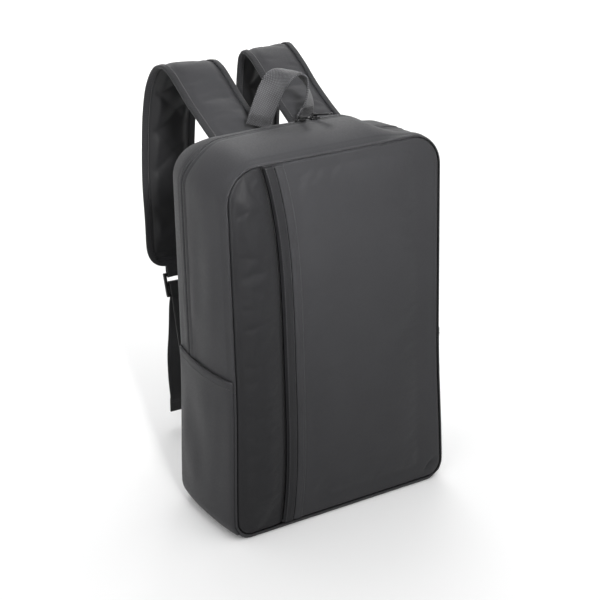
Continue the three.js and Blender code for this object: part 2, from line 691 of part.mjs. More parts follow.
// The ladder lock hangs from the pad's end by a short loop of webbing.
function buildLock(side, end) {
  const at = (along, lift) =>
    end.middle.clone().addScaledVector(end.along, along).addScaledVector(end.out, lift);
  const nose = tipRound + clearance;
  const centre = nose + tabReach + lockLength / 2;
  const shape = new THREE.Shape([
    point2(-lockWidth / 2, -lockLength / 2), point2(lockWidth / 2, -lockLength / 2),
    point2(lockWidth / 2, lockLength / 2), point2(-lockWidth / 2, lockLength / 2),
  ]);
  const slot = (lockLength - 3 * lockBar) / 2;
  for (const sign of [-1, 1]) {
    const middle = (sign * (slot + lockBar)) / 2;
    const half = lockWidth / 2 - lockRail;
    shape.holes.push(new THREE.Path([
      point2(-half, middle - slot / 2), point2(-half, middle + slot / 2),
      point2(half, middle + slot / 2), point2(half, middle - slot / 2),
    ]));
  }
  const frame = new THREE.ExtrudeGeometry(shape, { depth: lockThickness, bevelEnabled: false })
    .translate(0, 0, -lockThickness / 2);
  const mesh = addMesh("strap_lock_" + side, frame, nylon);
  const down = end.along.clone().negate();
  mesh.applyMatrix4(new THREE.Matrix4().makeBasis(end.width, down, V(0, 0, 0).crossVectors(end.width, down)));
  mesh.position.copy(at(centre, 0));

  const lift = lockThickness / 2 + clearance + webThickness / 2;
  const topBar = centre - lockLength / 2;
  const past = topBar + lockBar + 2 * clearance + webThickness / 2;
  const loop = [
    [nose, lift / 2], [topBar - 2, lift], [past - 1, lift], [past, lift * 0.6],
    [past, -lift * 0.6], [past - 1, -lift], [topBar - 2, -lift], [nose, -lift / 2],
  ];
  const places = loop.map(([along, off]) => ({ middle: at(along, off), width: end.width }));
  addMesh("strap_tab_" + side, ribbon(places, webWidth, () => webThickness), webbing);
  return { at, centre, lift, width: end.width };
}

// A thin ribbon along places, with its thickness square to its run
function ribbon(places, width, thickness) {
  const route = places.map((p, i) => {
    const before = places[Math.max(i - 1, 0)].middle;
    const after = places[Math.min(i + 1, places.length - 1)].middle;
    const into = p.middle.clone().sub(before).normalize();
    const from = after.clone().sub(p.middle).normalize();
    const along = into.clone().add(from).normalize();
    const out = V(0, 0, 0).crossVectors(p.width, along).normalize();
    const bend = i === 0 || i === places.length - 1 ? 1 : Math.max(0.8, into.dot(along));
    return { middle: p.middle, width: p.width, out, scale: 1 / bend };
  });
  const lift = (sign) => (across, p, i) => (sign * p.scale * thickness(i, places.length)) / 2;
  return band(route, even(1, () => width / 2), lift(1), lift(-1));
}

// The tail hangs from the lock: down is a share of its length, sway and aside are how far it stands off
// the plumb line to the back and outwards, per 100 of its length.
const tailRows = [
  { down: 0.06, sway: -1, aside: 1.5 },
  { down: 0.2, sway: -4, aside: 4 },
  { down: 0.32, sway: -3, aside: 4.4 },
  { down: 0.5, sway: 0, aside: 4.4 },
  { down: 0.7, sway: 0.4, aside: 4.2 },
  { down: 0.87, sway: -1, aside: 3.8 },
];
const hemRow = { sway: -0.5, aside: 3.6 };

function buildWebbing(side, lock) {
  const hand = side === "left" ? -1 : 1;
  const { at, centre, lift, width } = lock;
  const half = lockLength / 2;
  const turn = lockBar / 2 + 2 * clearance + webThickness / 2;
  const entry = at(centre + half + webEntry, -lift);
  const leaving = at(centre + half + webExit, lift);
  const anchor = buildAnchor(side, hand, entry);
  const climb = shares(5).map((s) => anchor.far.clone().lerp(entry, s).add(V(0, 0, -webSag * 4 * s * (1 - s))));
  const fold = [
    at(centre + half - lockBar, -lift), at(centre - lockBar / 2, -lift), at(centre - turn, -lift * 0.75),
    at(centre - turn, lift * 0.75), at(centre - lockBar / 2, lift), at(centre + half - lockBar, lift),
  ];
  const plumb = (share, row) =>
    leaving.clone().add(V(hand * row.aside, row.sway, -100 * share).multiplyScalar(tailLength / 100));
  const tail = tailRows.map((row) => plumb(row.down, row));
  const hem = 1 - hemLength / tailLength;
  const end = [plumb(hem, hemRow), plumb(hem + 0.005, hemRow), plumb(1, hemRow)];
  const points = [anchor.near, ...climb, ...fold, leaving, ...tail, ...end];
  const places = points.map((middle, i) => ({
    middle,
    width: V(1, 0, 0).lerp(width, Math.min(1, i / climb.length)).normalize(),
  }));
  const thickness = (i, count) => (i >= count - 2 ? 2 * webThickness : webThickness);
  addMesh("strap_webbing_" + side, ribbon(places, webWidth, thickness), webbing);
}

// The folded tab in the bottom seam, with the two places between which the webbing is sewn to it
function buildAnchor(side, hand, target) {
  const foot = V(hand * anchorOut, backY(anchorHeight) + clearance, anchorHeight);
  const run = target.clone().sub(foot).normalize();
  const out = V(0, run.z, -run.y).normalize();
  const along = (distance, lift) => foot.clone().addScaledVector(run, distance).addScaledVector(out, lift);
  const route = shares(3).map((s) => ({
    middle: along(s * anchorLength, 0),
    width: V(1, 0, 0),
    out: s === 0 ? V(0, 0, -1) : out,
  }));
  const half = anchorThickness / 2;
  const wide = (p, i) => lerp(webWidth * 0.95, webWidth * 0.56, i / 3);
  addMesh("strap_anchor_" + side, band(route, even(1, wide), () => half, () => -half), polyester);
  const lift = half + clearance + webThickness / 2;
  return { near: along(anchorLength * 0.4, lift), far: along(anchorLength * 1.1, lift) };
}

buildFront();
buildGussets();
buildMainZip();
buildSidePockets();
buildBack();
buildHandle();
sliders.forEach(buildSlider);
for (const side of ["left", "right"]) {
  const end = buildStrap(side);
  buildWebbing(side, buildLock(side, end));
}

export default backpack;
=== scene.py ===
"""A charcoal laptop backpack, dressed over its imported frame. Forms are worked out in millimetres and made in metres."""

from __future__ import annotations

import json
import logging
import math
from dataclasses import dataclass, field
from enum import Enum
from functools import lru_cache
from typing import Any, Callable, Iterable, Sequence

import bmesh
import bpy
from mathutils import Matrix, Vector, noise
from mathutils.bvhtree import BVHTree

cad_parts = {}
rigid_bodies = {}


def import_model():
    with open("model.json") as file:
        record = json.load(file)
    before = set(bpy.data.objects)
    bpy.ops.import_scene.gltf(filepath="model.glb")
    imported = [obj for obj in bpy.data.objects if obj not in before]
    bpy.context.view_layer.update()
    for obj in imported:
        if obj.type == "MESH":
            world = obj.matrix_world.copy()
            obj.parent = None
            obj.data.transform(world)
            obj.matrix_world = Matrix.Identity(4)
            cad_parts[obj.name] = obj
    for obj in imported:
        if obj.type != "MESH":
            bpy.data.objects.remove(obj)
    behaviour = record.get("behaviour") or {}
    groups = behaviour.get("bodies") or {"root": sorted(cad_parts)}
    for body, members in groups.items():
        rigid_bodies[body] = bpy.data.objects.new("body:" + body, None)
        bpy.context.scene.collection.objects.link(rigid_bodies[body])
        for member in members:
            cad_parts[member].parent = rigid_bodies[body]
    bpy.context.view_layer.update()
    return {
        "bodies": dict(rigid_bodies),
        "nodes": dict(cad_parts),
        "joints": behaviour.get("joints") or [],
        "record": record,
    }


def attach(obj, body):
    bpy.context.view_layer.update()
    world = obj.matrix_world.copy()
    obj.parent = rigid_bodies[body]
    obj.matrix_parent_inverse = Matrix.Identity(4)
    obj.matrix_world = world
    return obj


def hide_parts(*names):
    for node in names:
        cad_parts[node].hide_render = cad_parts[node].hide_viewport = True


LOG = logging.getLogger("backpack")
MM = 0.001
BAG_MIDDLE = Vector((0.0, 0.0, 220.0))

Form = Callable[[float, float], Vector]


def lerp(a: float, b: float, share: float) -> float:
    """Value at a share of the way from a to b."""
    return a + (b - a) * share


def smooth(x: float, low: float, high: float) -> float:
    """Smooth step from 0 at low to 1 at high."""
    t = min(max((x - low) / (high - low), 0.0), 1.0)
    return t * t * (3 - 2 * t)


def bump(x: float, middle: float, width: float) -> float:
    """Bell of height 1 round a middle."""
    return math.exp(-(((x - middle) / width) ** 2))


def ripple(p: Vector, size: float, seed: float = 0.0) -> float:
    """Soft noise between about -1 and 1.

    Args:
        p: Place in millimetres.
        size: Size of one swell in millimetres.
        seed: Shifts the pattern.

    Returns:
        The noise there.
    """
    return noise.noise(Vector((p.x + seed, p.y, p.z - seed)) / size) * 1.6


# Finishes


def linear(code: int) -> tuple[float, float, float, float]:
    """Linear colour of an sRGB hex value.

    Args:
        code: The colour as 0xRRGGBB.

    Returns:
        Red, green, blue and alpha.
    """
    channels = [((code >> shift) & 255) / 255 for shift in (16, 8, 0)]
    r, g, b = [c / 12.92 if c <= 0.04045 else ((c + 0.055) / 1.055) ** 2.4 for c in channels]
    return r, g, b, 1.0


def add_node(
    tree: bpy.types.NodeTree,
    kind: str,
    settings: dict[str | int, Any] | None = None,
    links: dict[str | int, bpy.types.NodeSocket] | None = None,
) -> bpy.types.Node:
    """Adds a node with its settings and links.

    Args:
        tree: Tree that it goes into.
        kind: Blender's name of the node type.
        settings: Values by the name of a property or the name or place of an input.
        links: Sources by the name or place of an input.

    Returns:
        The node.
    """
    node = tree.nodes.new(kind)
    for name, value in (settings or {}).items():
        if isinstance(name, str) and hasattr(node, name):
            setattr(node, name, value)
        else:
            node.inputs[name].default_value = value
    for name, source in (links or {}).items():
        tree.links.new(source, node.inputs[name])
    return node


class Weave(Enum):
    """How a cloth's threads cross."""

    PLAIN = "plain"
    RIB = "rib"
    SPECK = "speck"
    HERRINGBONE = "herringbone"


@dataclass(frozen=True)
class Fabric:
    """A woven cloth. Its threads follow the piece's own cloth coordinates, in metres.

    Attributes:
        name: Material name.
        ground: Colour between the threads, sRGB.
        thread: Colour of the raised threads, sRGB.
        weave: How the threads cross.
        pitch: Distance between drawn threads in millimetres.
        relief: Height of a thread in millimetres.
        contrast: Share of the thread colour that the weave brings.
        roughness: Roughness.
        sheen: Weight of the cloth sheen.
        patch: Size of the soft changes of tone in millimetres.
        patchiness: Share of the thread colour that those changes bring.
    """

    name: str
    ground: int
    thread: int
    weave: Weave = Weave.PLAIN
    pitch: float = 1.8
    relief: float = 0.12
    contrast: float = 0.35
    roughness: float = 0.62
    sheen: float = 0.12
    patch: float = 34.0
    patchiness: float = 0.2

    def _threads(self, tree: bpy.types.NodeTree) -> bpy.types.NodeSocket:
        """Adds the nodes of the weave.

        Args:
            tree: Tree that they go into.

        Returns:
            Height of the threads between 0 and 1.
        """
        cloth = add_node(tree, "ShaderNodeUVMap", {"uv_map": "cloth"})
        split = add_node(tree, "ShaderNodeSeparateXYZ", links={0: cloth.outputs[0]})
        turns = 2 * math.pi / (self.pitch * MM)
        across: bpy.types.NodeSocket = split.outputs[0]
        if self.weave is Weave.HERRINGBONE:
            fold = add_node(tree, "ShaderNodeMath", {"operation": "PINGPONG", 1: 2.5 * MM}, {0: split.outputs[1]})
            across = add_node(tree, "ShaderNodeMath", {"operation": "ADD"}, {0: across, 1: fold.outputs[0]}).outputs[0]
        waves = []
        for source, rate in ((across, turns), (split.outputs[1], turns * (0.5 if self.weave is Weave.RIB else 1))):
            angle = add_node(tree, "ShaderNodeMath", {"operation": "MULTIPLY", 1: rate}, {0: source})
            waves.append(add_node(tree, "ShaderNodeMath", {"operation": "SINE"}, {0: angle.outputs[0]}).outputs[0])
        if self.weave in (Weave.PLAIN, Weave.SPECK):
            raised = add_node(tree, "ShaderNodeMath", {"operation": "MULTIPLY"}, {0: waves[0], 1: waves[1]}).outputs[0]
        else:
            raised = waves[1] if self.weave is Weave.RIB else waves[0]
        low = 0.1 if self.weave is Weave.SPECK else -1.0
        share = add_node(tree, "ShaderNodeMapRange", {"From Min": low, "From Max": 1.0}, {"Value": raised})
        return share.outputs[0]

    def build(self) -> bpy.types.Material:
        """Builds the material.

        Returns:
            The material.
        """
        material = bpy.data.materials.new(self.name)
        material.use_nodes = True
        tree = material.node_tree
        shader = tree.nodes["Principled BSDF"]
        threads = self._threads(tree)
        place = add_node(tree, "ShaderNodeTexCoord")
        tone = add_node(
            tree,
            "ShaderNodeTexNoise",
            {"Scale": 1 / (self.patch * MM), "Detail": 4.0, "Roughness": 0.55},
            {"Vector": place.outputs["Object"]},
        )
        fine = add_node(
            tree,
            "ShaderNodeTexNoise",
            {"Scale": 1 / (1.6 * MM), "Detail": 2.0},
            {"Vector": place.outputs["Object"]},
        )
        tones = add_node(
            tree,
            "ShaderNodeMapRange",
            {"From Min": 0.3, "From Max": 0.7, "To Max": self.patchiness},
            {"Value": tone.outputs[0]},
        )
        woven = add_node(
            tree, "ShaderNodeMath", {"operation": "MULTIPLY_ADD", 1: self.contrast}, {0: threads, 2: tones.outputs[0]}
        )
        colour = add_node(
            tree,
            "ShaderNodeMix",
            {"data_type": "RGBA", 6: linear(self.ground), 7: linear(self.thread)},
            {0: woven.outputs[0]},
        )
        rough = add_node(
            tree,
            "ShaderNodeMapRange",
            {"From Min": 0.3, "From Max": 0.7, "To Min": self.roughness - 0.05, "To Max": self.roughness + 0.07},
            {"Value": fine.outputs[0]},
        )
        height = add_node(
            tree, "ShaderNodeMath", {"operation": "MULTIPLY_ADD", 1: 0.5}, {0: fine.outputs[0], 2: threads}
        )
        relief = add_node(
            tree, "ShaderNodeBump", {"Strength": 0.8, "Distance": self.relief * MM}, {"Height": height.outputs[0]}
        )
        tree.links.new(colour.outputs[2], shader.inputs["Base Color"])
        tree.links.new(rough.outputs[0], shader.inputs["Roughness"])
        tree.links.new(relief.outputs[0], shader.inputs["Normal"])
        shader.inputs["Sheen Weight"].default_value = self.sheen
        shader.inputs["Sheen Roughness"].default_value = 0.45
        shader.inputs["Specular IOR Level"].default_value = 0.25
        shader.inputs["IOR"].default_value = 1.5
        return material


@dataclass(frozen=True)
class Solid:
    """A hard, even finish with a fine grain from its mould or its enamel.

    Attributes:
        name: Material name.
        colour: sRGB colour.
        worn: sRGB colour of the lighter patches.
        roughness: Roughness.
        metallic: Metal share.
        grain: Size of the grain in millimetres.
        relief: Height of the grain in millimetres.
    """

    name: str
    colour: int
    worn: int
    roughness: float
    metallic: float = 0.0
    grain: float = 0.8
    relief: float = 0.02

    def build(self) -> bpy.types.Material:
        """Builds the material.

        Returns:
            The material.
        """
        material = bpy.data.materials.new(self.name)
        material.use_nodes = True
        tree = material.node_tree
        shader = tree.nodes["Principled BSDF"]
        place = add_node(tree, "ShaderNodeTexCoord")
        grain = add_node(
            tree,
            "ShaderNodeTexNoise",
            {"Scale": 1 / (self.grain * MM), "Detail": 3.0},
            {"Vector": place.outputs["Object"]},
        )
        rub = add_node(
            tree,
            "ShaderNodeTexNoise",
            {"Scale": 1 / (9 * MM), "Detail": 4.0},
            {"Vector": place.outputs["Object"]},
        )
        share = add_node(
            tree, "ShaderNodeMapRange", {"From Min": 0.45, "From Max": 0.75, "To Max": 0.6}, {"Value": rub.outputs[0]}
        )
        colour = add_node(
            tree,
            "ShaderNodeMix",
            {"data_type": "RGBA", 6: linear(self.colour), 7: linear(self.worn)},
            {0: share.outputs[0]},
        )
        rough = add_node(
            tree,
            "ShaderNodeMapRange",
            {"To Min": self.roughness - 0.06, "To Max": self.roughness + 0.08},
            {"Value": grain.outputs[0]},
        )
        relief = add_node(
            tree, "ShaderNodeBump", {"Strength": 0.6, "Distance": self.relief * MM}, {"Height": grain.outputs[0]}
        )
        tree.links.new(colour.outputs[2], shader.inputs["Base Color"])
        tree.links.new(rough.outputs[0], shader.inputs["Roughness"])
        tree.links.new(relief.outputs[0], shader.inputs["Normal"])
        shader.inputs["Metallic"].default_value = self.metallic
        return material


class Finish(Enum):
    """The bag's finishes. Thread spacings of 0.3 to 0.6 mm are drawn at 1.4 to 2.6 mm, as fine as shows."""

    # Plain-woven polyester, calendered on its face: matt charcoal with a soft, silky sheen.
    POLYESTER = Fabric("woven polyester charcoal", 0x222224, 0x2E2E30, roughness=0.56, sheen=0.03)
    # The same cloth dyed darker, on the pocket strip and the welt.
    DARK = Fabric("woven polyester dark charcoal", 0x121214, 0x1B1B1D, roughness=0.56, sheen=0.02)
    # Ribbed binding tape, folded over the strap's edge: matt, with cords across it.
    BINDING = Fabric("grosgrain binding tape", 0x161618, 0x232325, Weave.RIB, 1.4, 0.15, 0.4, 0.66, 0.08)
    # Brushed inner cloth of the straps: dull and dark.
    LINING = Fabric("brushed polyester lining", 0x141415, 0x1E1E20, Weave.PLAIN, 2.2, 0.1, 0.3, 0.5, 0.03)
    # Heavy webbing, each pick a light fleck over the darker ground.
    WEBBING = Fabric("polypropylene webbing", 0x161618, 0x58585A, Weave.SPECK, 2.4, 0.35, 0.9, 0.6, 0.1)
    # The same webbing made near black below the straps, as painted shade where it hangs in shadow: its flecks are
    # fainter.
    PAINTED_SHADE_WEBBING = Fabric("polypropylene webbing painted shade", 0x111112, 0x2A2A2C, Weave.SPECK, 2.4, 0.3, 0.7, 0.6, 0.05)
    # Herringbone tape of the zips.
    TAPE = Fabric("herringbone zip tape", 0x0C0C0D, 0x161617, Weave.HERRINGBONE, 1.4, 0.1, 0.4, 0.7, 0.05)
    # Moulded nylon of the coils and ladder locks: black with a satin face.
    NYLON = Solid("moulded nylon black", 0x0A0A0B, 0x141416, 0.45)
    # Zinc, die cast and enamelled: smooth and near black, a little lighter where it is rubbed.
    ENAMEL = Solid("enamelled zinc black", 0x0C0C0D, 0x242426, 0.36, 0.35, 1.2, 0.015)
    # Twisted sewing thread, a little lighter than the cloth.
    THREAD = Solid("polyester sewing thread", 0x2E2E30, 0x454547, 0.55, 0.0, 0.5, 0.05)
    # The same thread in black, for the bar tacks at the handle's feet, made dense and black as painted shade where the
    # feet lie in shadow.
    PAINTED_SHADE_THREAD = Solid("polyester thread black painted shade", 0x0C0C0D, 0x171718, 0.6, 0.0, 0.5, 0.05)


@lru_cache(maxsize=None)
def material_of(finish: Finish) -> bpy.types.Material:
    """Material of a finish, built once."""
    return finish.value.build()


# Making pieces


def save_piece(
    bm: bmesh.types.BMesh, name: str, finish: Finish, body: str = "root", replaces: Sequence[str] = (), slot: str = ""
) -> bpy.types.Object:
    """Turns a bmesh into a piece of the bag.

    Args:
        bm: The shape in metres, in the frame's place. It is freed.
        name: The piece's name.
        finish: Its finish.
        body: The body that it rides on.
        replaces: CAD nodes that it stands for.
        slot: The record's material slot; not used.

    Returns:
        The object.
    """
    mesh = bpy.data.meshes.new(name)
    bm.to_mesh(mesh)
    bm.free()
    mesh.polygons.foreach_set("use_smooth", [True] * len(mesh.polygons))
    mesh.materials.append(material_of(finish))
    piece = bpy.data.objects.new(name, mesh)
    bpy.context.scene.collection.objects.link(piece)
    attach(piece, body)
    if replaces:
        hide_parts(*replaces)
    LOG.info("%s: %d faces", name, len(mesh.polygons))
    return piece


def map_grid(form: Form, columns: int, rows: int, inside: Vector, inward: bool = False) -> bmesh.types.BMesh:
    """Lays a grid over a form.

    Args:
        form: Point in millimetres for a share across and a share along.
        columns: Faces across.
        rows: Faces along.
        inside: A place in millimetres that the faces look away from.
        inward: The faces look towards that place.

    Returns:
        The grid in metres, with cloth coordinates in metres.
    """
    bm = bmesh.new()
    cloth = bm.loops.layers.uv.new("cloth")
    bmesh.ops.create_grid(bm, x_segments=columns, y_segments=rows, size=0.5)
    width = sum((form((i + 1) / 24, 0.5) - form(i / 24, 0.5)).length for i in range(24))
    length = sum((form(0.5, (i + 1) / 48) - form(0.5, i / 48)).length for i in range(48))
    for face in bm.faces:
        for loop in face.loops:
            loop[cloth].uv = ((loop.vert.co.x + 0.5) * width * MM, (loop.vert.co.y + 0.5) * length * MM)
    for vert in bm.verts:
        vert.co = form(vert.co.x + 0.5, vert.co.y + 0.5) * MM
    bm.normal_update()
    facing = sum(f.normal.dot(f.calc_center_median() - inside * MM) * f.calc_area() for f in bm.faces)
    if (facing < 0) != inward:
        bmesh.ops.reverse_faces(bm, faces=bm.faces[:])
    return bm


@dataclass(frozen=True)
class Settle:
    """A cloth simulation that swells or slackens a sewn piece between its seams.

    Attributes:
        pressure: Push along the faces.
        slack: How much larger the cloth was cut, as a share.
        reach: Furthest that a point may move, in millimetres.
        hold: Width along the edges that the seams hold, in millimetres.
        frames: Steps of the simulation.
        bend: Bending stiffness.
        stretch: Stiffness along the threads.
        shear: Stiffness across them.
        damping: Drag of the air.
        mass: Mass of a vertex in kilograms.
    """

    pressure: float
    slack: float
    reach: float
    hold: float = 6.0
    frames: int = 16
    bend: float = 0.4
    stretch: float = 8.0
    shear: float = 3.0
    damping: float = 4.0
    mass: float = 0.02

    def run(self, piece: bpy.types.Object, held: Sequence[float]) -> None:
        """Runs the simulation and keeps its result in the mesh.

        Args:
            piece: The cloth, one layer or a closed skin.
            held: For each vertex, 1 where a seam holds it and 0 where it is free.
        """
        scene = bpy.context.scene
        group = piece.vertex_groups.new(name="seams")
        for index, weight in enumerate(held):
            if weight > 0.01:
                group.add([index], min(weight, 1.0), "REPLACE")
        cloth = piece.modifiers.new("settle", "CLOTH")
        rules = cloth.settings
        rules.quality = 4
        rules.mass = self.mass
        rules.tension_stiffness = rules.compression_stiffness = self.stretch
        rules.shear_stiffness = self.shear
        rules.bending_stiffness = self.bend
        rules.air_damping = self.damping
        rules.vertex_group_mass = "seams"
        rules.effector_weights.gravity = 0.0
        rules.use_pressure = True
        rules.uniform_pressure_force = self.pressure
        rules.shrink_min = rules.shrink_max = -self.slack
        cloth.collision_settings.use_collision = False
        cloth.point_cache.frame_start, cloth.point_cache.frame_end = 1, self.frames
        rest = [v.co.copy() for v in piece.data.vertices]
        for frame in range(1, self.frames + 1):
            scene.frame_set(frame)
        graph = bpy.context.evaluated_depsgraph_get()
        settled = [v.co.copy() for v in piece.evaluated_get(graph).data.vertices]
        piece.modifiers.remove(cloth)
        scene.frame_set(1)
        moves = [b - a for a, b in zip(rest, settled)]
        LOG.info("%s settled by up to %.1f mm", piece.name, max(m.length for m in moves) / MM)
        limit = self.reach * MM
        for vert, start, move in zip(piece.data.vertices, rest, moves):
            far = move.length
            vert.co = start + move * (limit * math.tanh(far / limit) / far if far > 1e-9 else 1.0)


@dataclass
class Cloth:
    """One sewn piece of cloth.

    Attributes:
        name: The CAD node that it stands for, also its own name with _cloth.
        form: Point in millimetres for a share across and a share along.
        columns: Faces across.
        rows: Faces along.
        thickness: In millimetres, to the inside.
        finish: Its finish.
        slot: The record's material slot.
        inside: A place in millimetres that the face looks away from.
        inward: The face looks towards that place.
        held: How the sheet is held, empty for a padded piece; it has no effect on the piece.
        fill: How tight a padded piece is; it has no effect on the piece.
        settle: Its simulation.
        wall: Side of the face on which the thickness lies: -1 inside, 0 both, 1 outside.
    """

    name: str
    form: Form
    columns: int
    rows: int
    thickness: float
    finish: Finish
    slot: str
    inside: Vector = field(default_factory=lambda: BAG_MIDDLE)
    inward: bool = False
    held: str = "stretched"
    fill: float = 0.0
    settle: Settle | None = None
    wall: float = -1.0

    def make(self) -> bpy.types.Object:
        """Makes the piece.

        Returns:
            The object.
        """
        bm = map_grid(self.form, self.columns, self.rows, self.inside, self.inward)
        area = sum(f.calc_area() for f in bm.faces)
        places = [loop[bm.loops.layers.uv[0]].uv.copy() for v in bm.verts for loop in v.link_loops[:1]]
        width, length = max(p.x for p in places), max(p.y for p in places)
        piece = save_piece(bm, self.name + "_cloth", self.finish, replaces=(self.name,), slot=self.slot)
        if self.settle:
            edge = [min(p.x, width - p.x, p.y, length - p.y) / MM for p in places]
            self.settle.run(piece, [1 - smooth(e, self.settle.hold * 0.4, self.settle.hold * 1.6) for e in edge])
        wall = piece.modifiers.new("wall", "SOLIDIFY")
        wall.thickness = self.thickness * MM
        wall.offset = self.wall
        if self.fill:
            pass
        elif self.held:
            sides = [max(width, 0.01), max(length, area / max(width, 0.01), 0.01)]
        return piece


def surface_of(piece: bpy.types.Object) -> BVHTree:
    """Search tree of a piece's finished surface."""
    return BVHTree.FromObject(piece, bpy.context.evaluated_depsgraph_get())


def spaced(points: Sequence[Vector], pitch: float) -> list[tuple[Vector, Vector]]:
    """Steps along a line.

    Args:
        points: The line in millimetres.
        pitch: Distance between steps in millimetres.

    Returns:
        The middle and the direction of each step.
    """
    steps, carried = [], pitch / 2
    for a, b in zip(points, points[1:]):
        run = b - a
        long = run.length
        while carried <= long and long > 0:
            steps.append((a + run * (carried / long), run / long))
            carried += pitch
        carried -= long
    return steps


@lru_cache(maxsize=None)
def bead_mesh() -> bpy.types.Mesh:
    """A ball of radius 1 with few faces, which every bead starts from."""
    mesh = bpy.data.meshes.new("bead")
    bm = bmesh.new()
    bmesh.ops.create_uvsphere(bm, u_segments=6, v_segments=4, radius=1.0)
    bm.to_mesh(mesh)
    bm.free()
    return mesh


@dataclass
class Sewing:
    """Threads of one sub-assembly, sewn on its finished surfaces.

    Attributes:
        name: The piece's name.
        finish: Finish of the thread.
        pitch: Length of one stitch with its gap, in millimetres.
        radius: Half the thread's drawn thickness in millimetres.
        batch: Beads that are made together before they join the rest.
    """

    name: str
    finish: Finish = Finish.THREAD
    pitch: float = 3.2
    radius: float = 0.42
    batch: int = 50
    count: int = 0
    shape: bmesh.types.BMesh = field(default_factory=bmesh.new)
    beads: bmesh.types.BMesh = field(default_factory=bmesh.new)
    skins: dict[str, BVHTree] = field(default_factory=dict)

    def bead(self, middle: Vector, along: Vector, up: Vector, size: Vector) -> None:
        """Adds one rounded bead.

        Args:
            middle: Its place in millimetres.
            along: Its long direction.
            up: Away from the cloth.
            size: Half its length, width and height in millimetres.
        """
        side = up.cross(along).normalized()
        turn = Matrix((along, side, along.cross(side))).transposed().to_4x4()
        place = Matrix.Translation(middle * MM) @ turn @ Matrix.Diagonal((*(size * MM), 1.0))
        before = len(self.beads.verts)
        self.beads.from_mesh(bead_mesh())
        self.beads.verts.ensure_lookup_table()
        bmesh.ops.transform(self.beads, matrix=place, verts=self.beads.verts[before:])
        self.count += 1
        if self.count % self.batch == 0:
            self._gather()

    def _gather(self) -> None:
        """Joins the latest beads to the rest."""
        mesh = bpy.data.meshes.new("beads")
        self.beads.to_mesh(mesh)
        self.shape.from_mesh(mesh)
        bpy.data.meshes.remove(mesh)
        self.beads.clear()

    def line(self, host: bpy.types.Object, points: Sequence[Vector], lift: float = 0.1) -> None:
        """Sews a line of stitches.

        Args:
            host: The cloth that it goes through.
            points: The line in millimetres, on the cloth or near it.
            lift: Middle of the thread above the cloth in millimetres.
        """
        skin = self.skins.get(host.name) or self.skins.setdefault(host.name, surface_of(host))
        half = Vector((self.pitch * 0.36, self.radius, self.radius))
        for middle, along in spaced(points, self.pitch):
            near, normal, _, _ = skin.find_nearest(middle * MM)
            if near is None or (near / MM - middle).length > 12:
                continue
            along = (along - normal * along.dot(normal)).normalized()
            self.bead(near / MM + normal * lift, along, normal, half)

    def save(self) -> bpy.types.Object:
        """Turns the threads into a piece."""
        self._gather()
        self.beads.free()
        return save_piece(self.shape, self.name, self.finish)


# The bag's form


@dataclass(frozen=True)
class Spot:
    """A place on the front seam, with its outward direction."""

    x: float
    z: float
    nx: float
    nz: float


@dataclass(frozen=True)
class Line:
    """A straight run of the seam between two points."""

    x0: float
    z0: float
    x1: float
    z1: float

    @property
    def length(self) -> float:
        """Length in millimetres."""
        return math.hypot(self.x1 - self.x0, self.z1 - self.z0)

    def spot(self, share: float) -> Spot:
        """Place at a share of the run."""
        ax, az = (self.x1 - self.x0) / self.length, (self.z1 - self.z0) / self.length
        return Spot(lerp(self.x0, self.x1, share), lerp(self.z0, self.z1, share), -az, ax)


@dataclass(frozen=True)
class Corner:
    """A round corner of the seam, from one angle to another."""

    x: float
    z: float
    radius: float
    start: float
    end: float

    @property
    def length(self) -> float:
        """Length in millimetres."""
        return self.radius * abs(self.end - self.start)

    def spot(self, share: float) -> Spot:
        """Place at a share of the run."""
        a = lerp(self.start, self.end, share)
        return Spot(self.x + self.radius * math.cos(a), self.z + self.radius * math.sin(a), math.cos(a), math.sin(a))


@dataclass(frozen=True)
class Seam:
    """Runs of the front seam, one after the other."""

    runs: tuple[Line | Corner, ...]

    @property
    def length(self) -> float:
        """Length in millimetres."""
        return sum(run.length for run in self.runs)

    def spot(self, share: float) -> Spot:
        """Finds a place on the seam.

        Args:
            share: Share of the whole length.

        Returns:
            The place.
        """
        left = min(max(share, 0.0), 1.0) * self.length
        for run in self.runs:
            if left <= run.length or run is self.runs[-1]:
                return run.spot(min(left / run.length, 1.0))
            left -= run.length
        return self.runs[-1].spot(1.0)


